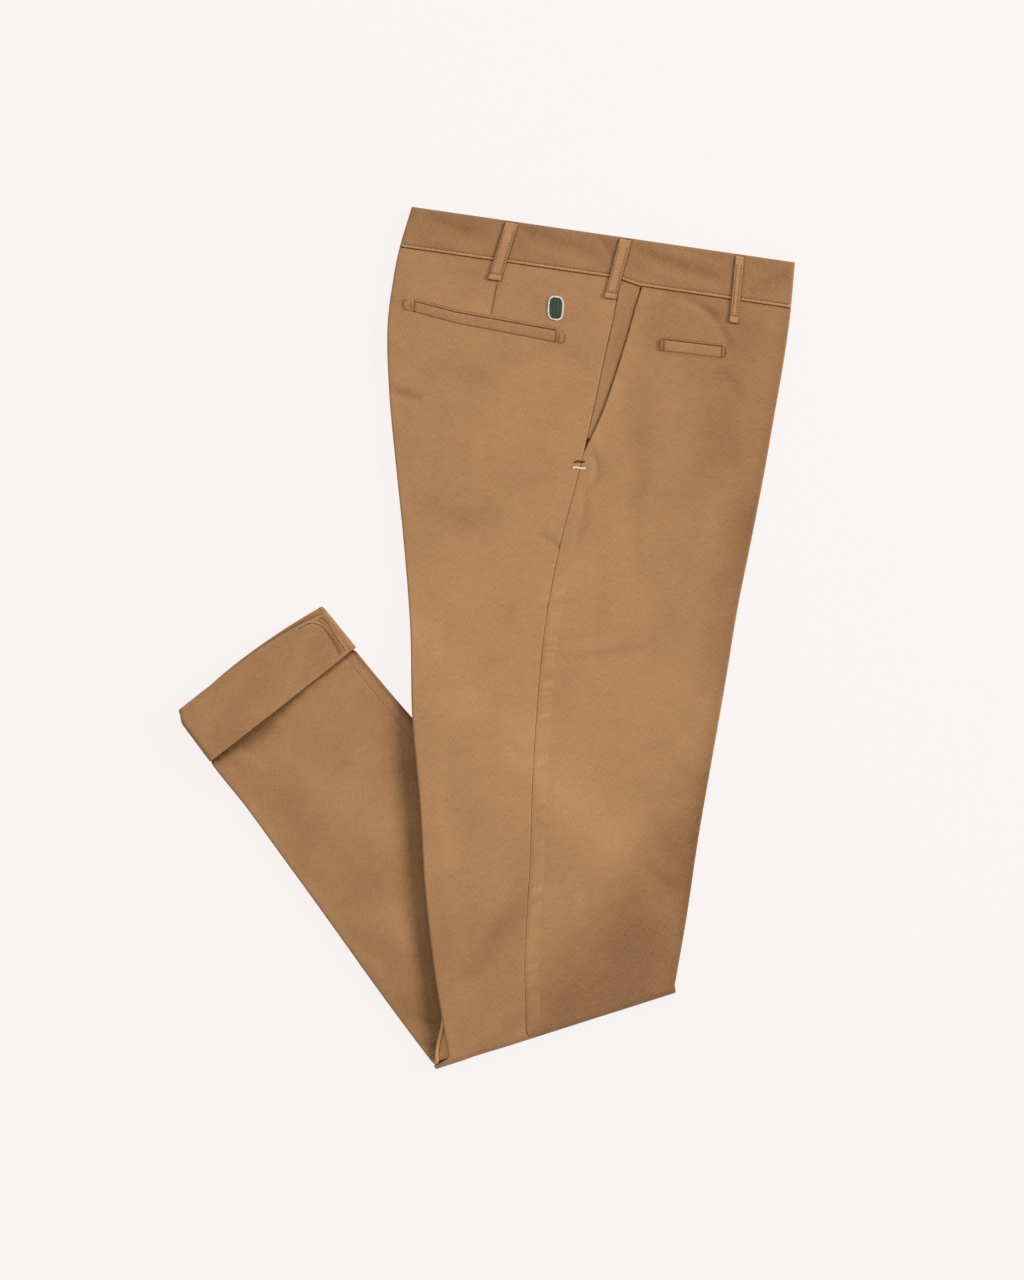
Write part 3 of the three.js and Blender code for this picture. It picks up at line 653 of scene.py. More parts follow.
# Painted shade along the front panel's rim.
front_rim = {"tone": -0.11, "width": 5}
right_front_creases = [
    {"line": [(360, -26), (364, 10), (362, 36), (356, 70)], "width": 4.6, "depth": -0.5},
    {"line": [(345, -26), (347, -4), (344, 22)], "width": 3.4, "depth": -0.3},
    {"line": [(318, -28), (316.5, -14), (318, 2)], "width": 3, "depth": -0.4},
    {"line": [(118, 39), (165, 39.8), (200, 43.5), (245, 39.2), (300, 50)], "width": 9, "depth": -0.45},
    {"line": [(250, 14), (315, 16), (380, 15)], "width": 8, "depth": -0.3},
    {"line": [(96, 62), (150, 66), (230, 74), (300, 66)], "width": 16, "depth": 0.16},
    {"line": [(190, 119), (232, 108), (285, 98)], "width": 9, "depth": 0.3},
    {"line": [(180, 146), (254, 134.3), (291, 122), (338, 113.7), (410, 103)], "width": 13, "depth": -0.5},
    {"line": [(215, 139), (282, 131), (358, 124), (440, 116)], "width": 8, "depth": -0.2},
    {"line": [(43, 52), (45, 78), (53, 96), (67, 107), (86, 116)], "width": 3.8, "depth": -0.75},
    {"line": [(47, 82), (56, 100), (58, 124)], "width": 3.2, "depth": -0.4},
    {"line": [(40, 62), (52, 72), (50, 94)], "width": 7, "depth": 0.4},
    {"line": [(184, -1), (197.6, 7.2), (210.6, 7.1), (225, -4)], "width": 3, "depth": -0.55},
    {"line": [(214, -4), (241, -1.5), (272, -10)], "width": 3.2, "depth": -0.35},
    {"line": [(548, 58), (570, 84), (590, 103)], "width": 5, "depth": -0.35},
    {"line": [(508, 112), (530, 77), (563, 35), (605, -12)], "width": 15, "depth": 0.06},
    {"line": [(600, 20), (622, 52), (640, 92)], "width": 16, "depth": -0.12},
    {"line": [(104, 100), (112, 118), (134, 128)], "width": 6, "depth": -0.35},
    {"line": [(68, 40), (96, 44), (120, 52)], "width": 8, "depth": -0.25},
]
# Painted shade and light on the front panel: darker at the front of the hip, below the waist and by the front
# edge, lighter mid-thigh.
right_front_light_and_shade = [
    {"at": (140, 118), "reach": (140, 60), "tone": -0.13},
    {"at": (50, 60), "reach": (30, 110), "tone": -0.05},
    {"at": (350, 20), "reach": (110, 60), "tone": 0.06},
    {"at": (330, 126), "reach": (110, 14), "tone": -0.05},
]
# Painted shade over the lower corner past the diagonal fold.
lower_shade = {
    "across": (-30, -12, 35, 77, 112), "down": (600, 578, 528, 470, 420), "over": 120, "tone": -0.23,
}


def mouth_at(along):
    return read(pocket_mouth, np.minimum(along, pocket_mouth_end), "across")


def allowance(along, across):
    """The side seam's allowance under the front panel, low and puckered every few millimetres."""
    size = allowance_ridge
    inside = across - width(along, "right_seam")
    band = soft((inside - size["inner"]) / 2.2) * (1 - soft((inside - size["outer"]) / 2.5))
    span = soft((along - size["from"]) / 50) * (1 - soft((along - size["to"]) / 12))
    uneven = along / size["pitch"] + size["drift"] * ripple(along, 0 * across, 31, 5.5)
    strength = 0.6 + 1.1 * ripple(along, 0 * across, 24, 7.7)
    waves = np.sin(math.tau * uneven + size["lean"] * inside) * strength
    return band * span * (size["height"] + size["waves"] * waves)


def right_front_relief(along, across):
    wavy = waviness(along, across, (46, 15), 21.5)
    top_half = creases(along, across, right_front_creases) + wavy + allowance(along, across)
    below = np.minimum(wavy - underside_sink, 0)
    return np.where(along > thigh_length + fold_span / 2, below, top_half)


def right_front_shading(along, across):
    """Painted shade: the lower corner past the diagonal fold is darker, and so is the rim; the table's places
    add painted shade and light. The ridge gets a painted highlight.
    """
    boundary = np.interp(across, lower_shade["across"], lower_shade["down"])
    corner = lower_shade["tone"] * soft((along - boundary) / lower_shade["over"])
    rim_shade = front_rim["tone"] * bell((edges(along, "right")[1] - across) / front_rim["width"])
    # Painted highlight on the allowance's ridge.
    raised = allowance_ridge["tone"] * allowance(along, across)
    return corner + rim_shade + spots(along, across, right_front_light_and_shade) + raised


def mouth_lip(along, across, seam):
    """The front panel's pressed lip along the pocket mouth, which sinks away at the mouth's end."""
    share = 1 - (across - seam) / mouth_reach
    return mouth_height * soft(share) * (1 - soft((along - pocket_mouth_end + 12) / 12))


piece = panel(
    "right_front_cloth", "right", "front", right_top, right_spacing, right_front_relief, right_front_shading,
    seam_at=mouth_at, mouth_lip=mouth_lip,
)
piece.data.materials.append(twill)
declare_panel("right_front_panel")

# The left leg's two panels: the same twill, cut as the right leg's. At the thigh they are the flat
# underside; past the fold they come out on top as the lower leg that shows beside the thigh.
left_back_creases = [
    {"line": [(320, -46), (285, -53), (231, -62), (170, -70)], "width": 20, "depth": -0.15},
    {"line": [(270, 8), (249, 0), (196, -24), (140, -42)], "width": 16, "depth": 0.25},
    {"line": [(316, 14), (296, -6), (286, 16)], "width": 12, "depth": -0.12},
    {"line": [(160, -46), (142, -52), (102, -65), (40, -84)], "width": 8, "depth": 0.5},
    {"line": [(128, -98), (112, -90), (94, -97)], "width": 5, "depth": 0.5},
    {"line": [(345, -80), (275, -86), (211, -91), (120, -97)], "width": 4, "depth": 0.35},
    {"line": [(346, -72), (335, -66), (322, -72)], "width": 3, "depth": -0.5},
    {"line": [(344, -60), (332, -52), (318, -54)], "width": 4, "depth": 0.4},
    {"line": [(345, -30), (300, -26), (240, -36)], "width": 12, "depth": 0.16},
    {"line": [(300, 40), (230, 34), (160, 8)], "width": 18, "depth": -0.3},
    {"line": [(24, -112), (10, -96), (4, -70)], "width": 4, "depth": -0.7},
    {"line": [(60, -104), (34, -86), (18, -60)], "width": 6, "depth": -0.4},
]
left_underside_creases = [
    {"line": [(120, -150), (140, -110), (150, -60)], "width": 9, "depth": -0.7},
    {"line": [(200, -150), (228, -112), (236, -70)], "width": 12, "depth": -0.6},
    {"line": [(300, -130), (322, -80), (318, -30)], "width": 8, "depth": -0.6},
    {"line": [(400, -120), (430, -70), (440, -20)], "width": 10, "depth": -0.5},
    {"line": [(520, -100), (540, -60), (530, -20)], "width": 7, "depth": -0.5},
    {"line": [(100, 60), (130, 90), (140, 130)], "width": 8, "depth": -0.6},
    {"line": [(210, 50), (240, 90), (236, 130)], "width": 10, "depth": -0.5},
    {"line": [(340, 50), (352, 84), (372, 118)], "width": 6, "depth": -0.6},
    {"line": [(470, 56), (500, 80), (540, 96)], "width": 9, "depth": -0.5},
]
# Painted shade and light on the flap, with the painted shadows of two small pleats below the turn-up.
left_light_and_shade = [
    {"at": (calf_start + 235, -60), "reach": (60, 24), "tone": -0.02},
    {"at": (calf_start + 200, -6), "reach": (80, 22), "tone": 0.03},
    {"at": (calf_start + 60, -85), "reach": (70, 26), "tone": -0.08},
    {"at": (calf_start + 351, -76.5), "reach": (4, 1.8), "tone": -0.2},
    {"at": (calf_start + 351.5, -68.3), "reach": (4, 2.2), "tone": -0.16},
]
# Painted shadow of the thigh on the flap and of the turn-up below its free edge, painted shade on the flap's
# rim, and painted light on the left thigh next to the fold.
thigh_edge_line = [(300, 78), (244, 44), (148, -19), (53, -71), (1, -96)]
thigh_shade = {"full": 10.5, "near": 14, "far": 24, "until": 280, "ease": 45, "tone": -0.22}
seam_allowance = {"beside": 5, "spread": 3.2, "height": 0.2}
flap_rim = {"tone": -0.28, "width": 3}
corner_light = {"from": 560, "over": 60, "tone": 0.4}
calf_tone = -0.05
cuff_shade = {
    "line": 359.2, "slant": 0.073, "at": -36, "spread": 22, "wide": 14, "narrow": 3.6, "turn": 9,
    "uneven": 0.5, "full": 0.3, "tone": -0.32,
}
left_top = band_left + seam_gap


def left_relief(along, across):
    wavy = waviness(along, across, (40, 14), 41.5)
    calf = along - calf_start
    above = creases(calf, across, left_back_creases) + wavy
    seam = width(along, "left_seam")
    allowance_edge = seam_allowance["height"] * np.exp(
        -((across - seam - seam_allowance["beside"]) / seam_allowance["spread"]) ** 2
    )
    above = above + allowance_edge * (1 + 0.5 * ripple(along, 0 * across, 7, 2.2))
    below = np.minimum(creases(along, across, left_underside_creases) + wavy - underside_sink, 0)
    return np.where(calf > -fold_span / 2, above * soft((calf + fold_span / 2) / 12), below)


def left_shading(along, across):
    """Painted shade: the flap is darker in the nook beside the thigh's edge, on its front rim and below the
    turn-up. Painted light brightens the left thigh next to the fold.
    """
    line = np.array(thigh_edge_line, float)[::-1]
    beside = np.interp(along - calf_start, line[:, 0], line[:, 1]) - across
    fan = mix(thigh_shade["near"], thigh_shade["far"], np.clip((along - calf_start) / line[-1, 0], 0, 1))
    shade = 1 - soft((beside - thigh_shade["full"]) / fan)
    shade = shade * (1 - soft((along - calf_start - thigh_shade["until"]) / thigh_shade["ease"]))
    tone = spots(along, across, left_light_and_shade) + thigh_shade["tone"] * shade * (along > calf_start)
    rim_shade = flap_rim["tone"] * bell((edges(along, "left")[1] - across) / flap_rim["width"])
    tone = tone + rim_shade * (along > calf_start)
    near_fold = soft((along - corner_light["from"]) / corner_light["over"])
    tone = tone + corner_light["tone"] * near_fold * (along < calf_start)
    below_cuff = np.maximum(cuff_shade["line"] + cuff_shade["slant"] * across - (along - calf_start), 0)
    wider = bell((across - cuff_shade["at"]) / cuff_shade["spread"])
    reach = mix(cuff_shade["narrow"], cuff_shade["wide"], wider)
    reach = reach * (1 + cuff_shade["uneven"] * ripple(0 * along, across, cuff_shade["turn"], 9.1))
    cast = 1 - soft(below_cuff / reach - cuff_shade["full"])
    return tone + (calf_tone + cuff_shade["tone"] * cast) * (along > calf_start)


for side in ("back", "front"):
    piece = panel(f"left_{side}_cloth", "left", side, left_top, left_spacing, left_relief, left_shading)
    piece.data.materials.append(twill)
    declare_panel(f"left_{side}_panel")

# The hidden inner halves of both legs, which lie between the outer ones and show only as a dark edge in
# the slits at the sides. The same twill, wrong side out, in a darker copy that paints the slits' shade.
core_top = 42
core_inset = 4.2
core_low, core_high = 2.75, 4.15
core_columns = 24
# A darker copy of the twill: painted shade for the slits that the inner halves show in.
twill_hidden = twill_material("twill_hidden", (0.12, 0.055, 0.022), (0.4, 0.21, 0.1))
rows = leg_rows(core_top, 8)
rows = rows[rows <= calf_start + core_end]
right_back_edge, right_front_edge, _ = edges(rows, "right")
left_back_edge, left_front_edge, _ = edges(rows, "left")
core_radius = (core_high - core_low) / 2
core_back = np.maximum(right_back_edge, left_back_edge) + core_inset + core_radius
core_front = np.minimum(right_front_edge, left_front_edge) - core_inset - core_radius
shares = np.linspace(0, 1, core_columns)
turns = np.radians(np.arange(22.5, 180, 22.5))
over = mix(core_back[:, None], core_front[:, None], shares[None, :])
nose = core_front[:, None] + core_radius * np.sin(turns)[None, :]
tail = core_back[:, None] - core_radius * np.sin(turns)[None, :]
across = np.concatenate((over, nose, over[:, ::-1], tail, over[:, :1]), axis=1)
middle_level = (core_low + core_high) / 2
level_row = np.concatenate((
    np.full(core_columns, core_high), middle_level + core_radius * np.cos(turns),
    np.full(core_columns, core_low), middle_level - core_radius * np.cos(turns), [core_high],
))
level = np.broadcast_to(level_row, across.shape).copy()
closing = np.ones(len(rows))
closing[0] = closing[-1] = 0
level = middle_level + (level - middle_level) * closing[:, None]
along = np.broadcast_to(rows[:, None], across.shape)
across = np.where(closing[:, None] > 0, across, np.clip(across, core_back[:, None], core_front[:, None]))
points = place(along, across, level)
piece = cloth_piece(
    "inner_halves", points, np.stack((across, along), axis=-1), np.zeros(across.shape), merge=True,
)
piece.data.materials.append(twill_hidden)
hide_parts("folded_layers")

# The pocket's facing: the strip of twill behind the slanted mouth, which shows between the side seam and
# the front panel's lip. It is sewn into the waist seam and the side seam, and runs out at the tacks.
facing_drop = 0.4
facing_end = 176
facing_wall = 0.8
facing_roll = 0.5
facing_dip = {"depth": 0.35, "beside": 6, "spread": 4, "down": 100, "reach": 50}
facing_tones = {"whole": -0.1, "mouth": -0.12, "width": 4}
rows = np.concatenate((band_back + seam_gap + np.array((0, 0.5, 1.2)), np.linspace(40, facing_end, 52)))
shares = np.linspace(0, 1, 13)
seam = edges(rows, "right")[2] + seam_gap / 2
mouth = mouth_at(rows) - seam_gap / 2
across = mix(seam[:, None], mouth[:, None], shares[None, :])
along = np.broadcast_to(rows[:, None], across.shape).copy()
along[:3] += band_edge(across[:3]) - band_back
from_seam = across - seam[:, None]
roll = np.interp(from_seam, roll_steps, roll_drops)
dip = facing_dip["depth"] * bell((from_seam - facing_dip["beside"]) / facing_dip["spread"])
dip = dip * bell((along - facing_dip["down"]) / facing_dip["reach"])
level = right_outer - facing_drop + roll * facing_roll - dip + 0.1 * ripple(along, across, 12, 3.7)
# The facing is a little darker all over; painted shade darkens it further under the front panel's lip at the
# mouth.
near_mouth = soft(1 - (mouth[:, None] - across) / facing_tones["width"])
tone = facing_tones["whole"] + facing_tones["mouth"] * near_mouth
piece = cloth_piece(
    "pocket_facing", place(along, across, level), np.stack((across, along), axis=-1), tone,
    facing=(0, 0, 1), wall=facing_wall,
)
piece.data.materials.append(twill)
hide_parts("right_pocket_facing")

# The waistband's two halves: a strip of twill folded lengthwise over the waist seam. Its lower edge is a
# rolled rim that a row of stitches holds down, and it wrinkles softly between the belt loops.
loops = [
    {"name": "back", "top": -79.0, "bottom": -91.3, "length": 52.6, "width": 11.6},
    {"name": "side", "top": 19.5, "bottom": 8.9, "length": 54.1, "width": 10.8},
    {"name": "front", "top": 118.7, "bottom": 116.5, "length": 59.4, "width": 7.6},
]
loop_shade = {"left": -0.14, "right": -0.22, "reach": 1.0}
band_thickness = 3.35
band_proud = 0.2
rim = {"from": 0.5, "to": 2.1, "height": 0.3, "tone": 0.12}
band_stitch = {"up": 2.9, "depth": 0.3, "width": 0.7}
band_creases = [
    {"line": [(5, -158), (12, -130), (17, -96)], "width": 5, "depth": -0.45},
    {"line": [(24, -160), (27, -130), (24, -104)], "width": 4, "depth": 0.3},
    {"line": [(6, -72), (12, -40), (19, -2)], "width": 4.5, "depth": -0.5},
    {"line": [(20, -70), (24, -40), (29, -12)], "width": 4, "depth": 0.35},
    {"line": [(2, -6), (9, 3), (18, 9)], "width": 3, "depth": -0.45},
    {"line": [(10, 28), (17, 60), (25, 108)], "width": 4, "depth": -0.55},
    {"line": [(4, 40), (9, 74), (12, 108)], "width": 4, "depth": 0.4},
    {"line": [(25, 40), (29, 66), (30, 96)], "width": 3.5, "depth": 0.35},
    {"line": [(32, 126), (22, 140), (12, 160)], "width": 4.5, "depth": -0.5},
    {"line": [(12, 126), (18, 134), (16, 150)], "width": 4, "depth": 0.3},
]
twill_trim = twill_material("twill_trim", (0.1, 0.042, 0.011), (0.62, 0.332, 0.152), middle=0.39)


def band_relief(down, across, edge):
    up = edge - down
    rolled = rim["height"] * soft((up - rim["from"] + 0.6) / 0.6) * (1 - soft((up - rim["to"]) / 0.7))
    stitched = -band_stitch["depth"] * np.exp(-((up - band_stitch["up"]) / band_stitch["width"]) ** 2)
    pucker = 0.1 * np.exp(-((up - 5) / 3) ** 2) * ripple(down * 0.3, across, 4.5, 6.6)
    wrinkles = creases(down, across, band_creases) * soft(up / 4)
    return rolled + stitched + pucker + wrinkles + 0.12 * ripple(down, across, 22, 12.3)


def loop_side_shade(down, across):
    """Painted shade: the cloth beside a belt loop is darker, where the loop shades it."""
    tone = np.zeros(np.shape(across))
    for loop in loops:
        middle = mix(loop["top"], loop["bottom"], np.clip(down / loop["length"], 0, 1))
        beside = np.abs(across - middle) - loop["width"] / 2
        depth = np.where(across < middle, loop_shade["left"], loop_shade["right"])
        tone = tone + depth * np.exp(-np.square(np.maximum(beside, 0) / loop_shade["reach"]))
    return tone


def waistband(name, leg, low, spacing):
    """Half of the waistband: its section, a doubled strip with a rounded top, at stops over the waist."""
    half = band_thickness / 2
    back, front = width(np.array(band_back), "back"), width(np.array(band_back), "front")
    steps = np.array((0, 0.12, 0.4, 0.9, half))
    inner = np.linspace(half - back, front - half, round((back + front) / spacing))
    stops = np.concatenate((steps[:-1] - back, inner, front - steps[-2::-1]))
    edge = band_edge(stops, leg)
    from_end = np.minimum(np.minimum(stops + back, front - stops), half)
    roundness = np.sqrt(np.maximum(1 - ((half - from_end) / half) ** 2, 0))
    face_up = np.concatenate(((0, 0.45, 0.9, 1.35, 1.8, 2.3, 2.8, 3.4, 4.2), np.linspace(5.4, 33.8, 21)))
    face = 1 - face_up / face_up[-1]
    turns = np.radians((67.5, 45, 22.5, 0, -22.5, -45, -67.5))
    arc = (half * (1 - np.cos(turns)), np.sin(turns))
    face_down = half + (edge[:, None] - 0.5 - half) * face[None, :]
    down = np.concatenate((
        edge[:, None] - np.array((0.1, 0, 0, 0.1))[None, :], face_down,
        np.broadcast_to(arc[0], (len(stops), len(turns))), face_down[:, ::-1], edge[:, None] - 0.1,
    ), axis=1)
    face_out = np.ones(len(face))
    out_row = np.concatenate(((-0.85, -0.35, 0.35, 0.85), face_out, arc[1], -face_out, (-0.85,)))
    out = out_row[None, :] * roundness[:, None]
    share = ((stops + back) / (back + front))[:, None]
    across = mix(-width(down, "back"), width(down, "front"), share)
    outer_side = 1 if leg == "right" else -1
    relief = band_relief(down, across, edge[:, None])
    if leg == "left":
        relief = np.minimum(relief - 0.3, 0)
    on_face = soft((out * outer_side - 0.6) / 0.35) * soft(from_end / half)[:, None]
    level = low + half + half * out + outer_side * relief * on_face
    # Painted light and shade on the wrinkles, and painted shade on the faces turned away: the right half is
    # darker everywhere but its upper face, the left half lighter everywhere but its inner face.
    tone = 0.12 * np.clip(relief, -1, 1) * on_face - 0.12 * (out_row < 0.9)[None, :] * outer_side
    if leg == "right":
        up = edge[:, None] - down
        # Painted highlight on the rolled rim and painted shade beside the loops; the band is also lighter
        # towards its lower edge and darker towards its top.
        bright_rim = rim["tone"] * soft((up - rim["from"]) / 0.4) * (1 - soft((up - rim["to"]) / 0.6))
        lower_half = 0.08 * (1 - soft(up / band_back)) - 0.05
        tone = tone + (loop_side_shade(down, across) + bright_rim + lower_half) * on_face
    points = place(down, across, level)
    piece = cloth_piece(name, points, np.stack((down, across), axis=-1), tone, merge=True)
    piece.data.materials.append(twill_trim)
    return piece


piece = waistband("right_waistband", "right", right_outer + band_proud - band_thickness, 1.9)
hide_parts("waistband_right")
piece = waistband("left_waistband", "left", left_outer, 3.2)
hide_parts("waistband_left")

# Three belt loops: narrow folded strips of twill with a row of stitches near each side. Each is sewn in
# at the band's top edge, bows over the band, and has its foot tucked under and tacked to the panel.
loop_thickness = 0.85
loop_start = 1.9
loop_bow = {"height": 0.2, "until": 0.78}
loop_foot = {"share": 0.9, "extra": 0.35, "wider": 0.06}
# The loops' tones: a little lighter overall, with painted light on the ridge and painted shade at both sides,
# down the right side and at the foot's tack.
loop_light_and_shade = {"whole": 0.16, "ridge": 0.1, "edge": -0.4, "right": -0.22, "tack": -0.25}
strip_profile = (
    (-1, 0), (-1, 0.45), (-0.97, 0.75), (-0.9, 0.95), (-0.72, 1.0), (-0.45, 0.9), (0, 0.96),
    (0.45, 0.9), (0.72, 1.0), (0.9, 0.95), (0.97, 0.75), (1, 0.45), (1, 0),
)


def surface_level(down, across):
    """The outer level of the right side at a place, the waistband's above its lower edge."""
    lip = mouth_height * soft(1 - (across - mouth_at(down)) / mouth_reach) * (across > mouth_at(down))
    return np.where(down < band_edge(across) + seam_gap, right_outer + band_proud, right_outer + lip)


def closed_strip(name, down, across, level, tone):
    """A strip of the trim's twill, closed all round, from the places in its sections and their levels."""
    parts = [np.concatenate((part, part[:, :1]), axis=1) for part in (down, across, level, tone)]
    down, across, level, tone = parts
    points = place(down, across, level)
    centres = points[:, :-1].mean(axis=1, keepdims=True)
    points[:1] = centres[:1]
    points[-1:] = centres[-1:]
    piece = cloth_piece(name, points, np.stack((down, across), axis=-1), tone, merge=True)
    piece.data.materials.append(twill_trim)
    return piece


def loop_line(loop, share):
    """A belt loop's middle line and the level it lies on, at shares of its length."""
    down = mix(loop_start, loop["length"], share)
    across = mix(loop["top"], loop["bottom"], share)
    bow = loop_bow["height"] * np.sin(math.pi * np.clip(share / loop_bow["until"], 0, 1)) ** 2
    sides = [surface_level(down, across + side * loop["width"] / 2) for side in (-1, 1)]
    base = np.maximum(np.maximum(*sides), right_outer + band_proud) + 0.5 * seam_gap + bow
    return down, across, base


for loop in loops:
    shares = np.concatenate(((0, 0, 0.004, 0.012), np.linspace(0.03, 0.98, 46), (0.99, 0.996, 1, 1)))
    down, across, base = loop_line(loop, shares)
    end_round = np.interp(shares, (0, 0.004, 0.012, 0.98, 0.996, 1), (0.3, 0.75, 1, 1, 0.85, 0.45))
    foot = soft((shares - loop_foot["share"]) / 0.02)
    tack = np.exp(-((shares - loop_foot["share"] + 0.005) / 0.014) ** 2)
    side, up = np.array(strip_profile).T
    wobble = 0.25 * ripple(down, down * 0, 9, loop["top"])
    half = loop["width"] / 2 * (1 + loop_foot["wider"] * foot) + wobble
    thick = loop_thickness * end_round * (1 + loop_foot["extra"] * foot - 0.45 * tack)
    pinch = 1 - 0.03 * (1 - end_round)
    section_down = np.broadcast_to(down[:, None], (len(shares), len(side)))
    section_across = across[:, None] + side[None, :] * (half * pinch)[:, None]
    level = base[:, None] + up[None, :] * thick[:, None]
    # Painted light on the loop's ridge and painted shade at its sides, down its right side and at the tack.
    lit_and_shaded = loop_light_and_shade["whole"] + loop_light_and_shade["ridge"] * (up - 0.7) + loop_light_and_shade["edge"] * (np.abs(side) > 0.92)
    lit_and_shaded = lit_and_shaded + loop_light_and_shade["right"] * soft((side - 0.6) / 0.3)
    tone = lit_and_shaded[None, :] + loop_light_and_shade["tack"] * tack[:, None]
    piece = closed_strip(f"{loop['name']}_belt_loop", section_down, section_across, level, tone)
    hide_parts(f"belt_loop_{loop['name']}")

# The back pocket's welt and the coin pocket's: a narrow folded lip of twill along a slit in the panel,
# with a rounded, tacked tab at each end. The slit is open along the lip's upper edge, with painted shade in
# it.
welts = [
    {
        "name": "back_pocket", "tab": (10.1, 8.6), "height": (8.6, 11.0),
        "line": [
            (81.6, -168.5), (82.2, -158), (86.6, -122), (88.3, -92), (90.5, -55.5), (91.6, -36), (92.4, -27),
        ],
    },
    {"name": "coin_pocket", "tab": (4.5, 4.2), "height": (11.4, 11.4), "line": [(88.1, 53.0), (87.6, 112.0)]},
]
welt_thickness = 0.75
welt_end = 2.3
# Painted light on the lip's ridge and painted shade along its lower edge and in the slit; the lip is a little
# lighter overall and its tabs darker.
welt_tones = {"whole": 0.06, "ridge": 0.08, "edge": -0.05, "tab": -0.14}
slit = {"side": -0.79, "level": 0.22, "tone": -0.9}
welt_profile = (
    (-1, 0), (-1, 0.3), (-0.97, 0.36), (-0.93, 0.22), (slit["side"], slit["level"]), (-0.74, 0.9),
    (-0.66, 1), (-0.3, 0.86), (0.2, 0.74), (0.6, 0.8), (0.76, 0.58), (0.88, 0.7), (0.97, 0.4), (1, 0),
)


def panel_relief(welt, down, across):
    """The relief of the panel that a welt is sewn to."""
    if welt["name"] == "back_pocket":
        return right_back_relief(down, across)
    return right_front_relief(down, across) + mouth_lip(down, across, mouth_at(down))


def welt_place(welt, shares):
    """The welt's middle line and its height at shares of its length."""
    line = np.array(welt["line"], float)
    across = mix(line[0, 1], line[-1, 1], shares)
    return np.interp(across, line[:, 1], line[:, 0]), across, mix(*welt["height"], shares)


for welt in welts:
    shares = np.concatenate((
        (0, 0, 0.003, 0.009, 0.02), np.linspace(0.035, 0.965, 80), (0.98, 0.991, 0.997, 1, 1),
    ))
    middle, over, tall = welt_place(welt, shares)
    length = float(over[-1] - over[0])
    from_start, from_finish = shares * length, (1 - shares) * length
    corner = np.clip(np.minimum(from_start, from_finish) / (tall / welt_end), 0, 1)
    narrow = np.sqrt(np.maximum(1 - (1 - corner) ** 2, 0.02)) * 0.98
    from_tabs = from_start - welt["tab"][0], from_finish - welt["tab"][1]
    tab = np.exp(-(from_tabs[0] / 0.9) ** 2) + np.exp(-(from_tabs[1] / 0.9) ** 2)
    opened = soft(from_tabs[0] / 1.6) * soft(from_tabs[1] / 1.6)
    side, up = np.array(welt_profile).T
    closed_up = np.where(side < -0.7, np.clip(1.6 * (1 + side) + 0.4, 0, 0.9) * (up > 0), up)
    section_down = middle[:, None] + side[None, :] * (tall / 2 * narrow)[:, None]
    section_across = np.broadcast_to(over[:, None], section_down.shape)
    thick = welt_thickness * np.clip(corner + 0.25, 0, 1) * (1 - 0.5 * tab)
    bumps = 1 + 0.1 * ripple(section_across, section_down, 7, 2.9)
    height = mix(closed_up[None, :], up[None, :], opened[:, None])
    level = right_outer + panel_relief(welt, section_down, section_across) + height * thick[:, None] * bumps
    # Painted shade in the open slit, and painted light and shade on the lip.
    dark = slit["tone"] * (np.abs(side + 0.88) < 0.1)[None, :] * opened[:, None]
    lit_and_shaded = welt_tones["ridge"] * (up - 0.6) + welt_tones["edge"] * (side > 0.9)
    tone = welt_tones["whole"] + lit_and_shaded[None, :] + welt_tones["tab"] * tab[:, None] + dark
    piece = closed_strip(f"{welt['name']}_lip", section_down, section_across, level, tone)
    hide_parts(f"{welt['name']}_welt")

# The turn-ups: each hem is turned out and back up over its leg, so the cloth's inner face shows. The
# left one stands a little away from the leg along its free edge; near its right end the side seam's
# overlocked allowance runs across it.
cuff_wall = 2.0
cuff_height = 7.75
cuff_slit = 0.7
hem_radius = 2.2
cuff_bulge = {"height": 3.4, "least": 0.3, "across": -34, "spread": 34, "over": 30}
# Tones of the turn-ups: painted light on raised relief and painted shade in its troughs and on the inner wall
# against the leg; the rounded edges are a little lighter and the front end of the upper face darker.
cuff_tones = {"raised": 0.1, "inner": -0.25, "rim": 0.05, "front": -0.2}
cuff_front = {"from": 69, "over": 6}
free_edge = {"middle": 359.2, "slant": 0.073}
overlock_line = [(407.5, 46), (403.5, 57), (396, 65), (386, 68.5), (374, 67.5), (366, 66)]
overlock_half = 2.4
cuff_creases = [
    {"line": [(372, -60), (384, -30), (396, 10)], "width": 9, "depth": -0.35},
    {"line": [(366, 0), (380, 24), (398, 44)], "width": 8, "depth": 0.35},
    {"line": [(404, -66), (396, -40), (399, -10)], "width": 4, "depth": 0.3},
    {"line": [(368, -70), (374, -62), (386, -58)], "width": 3.4, "depth": -0.4},
    {"line": [(408, 60), (400, 70), (386, 74)], "width": 2.4, "depth": -0.35},
]
twill_inside = twill_material("twill_inside", (0.1, 0.042, 0.012), (0.6, 0.32, 0.148), middle=0.49)


def free_edge_at(across):
    return free_edge["middle"] + free_edge["slant"] * across


def cuff_stand(down, across, rough):
    """How far the left turn-up's outer face stands off the leg, most at the middle of its free edge."""
    bulge = np.maximum(bell((across - cuff_bulge["across"]) / cuff_bulge["spread"]), cuff_bulge["least"])
    return cuff_bulge["height"] * bulge * (1 - soft((down - free_edge_at(rough)) / cuff_bulge["over"]))


def cuff_relief(down, across):
    """The left turn-up's outer face: creases, and the raised, puckered strip of the overlocked seam."""
    strip = crease(down, across, overlock_line, overlock_half, 0.75, 0.25)
    ropes = 1 + 0.35 * ripple(down, across, 2.4, 4.4)
    folds = creases(down, across, cuff_creases)
    return strip * ropes + folds + 0.16 * ripple(down, across, 26, 14.5)


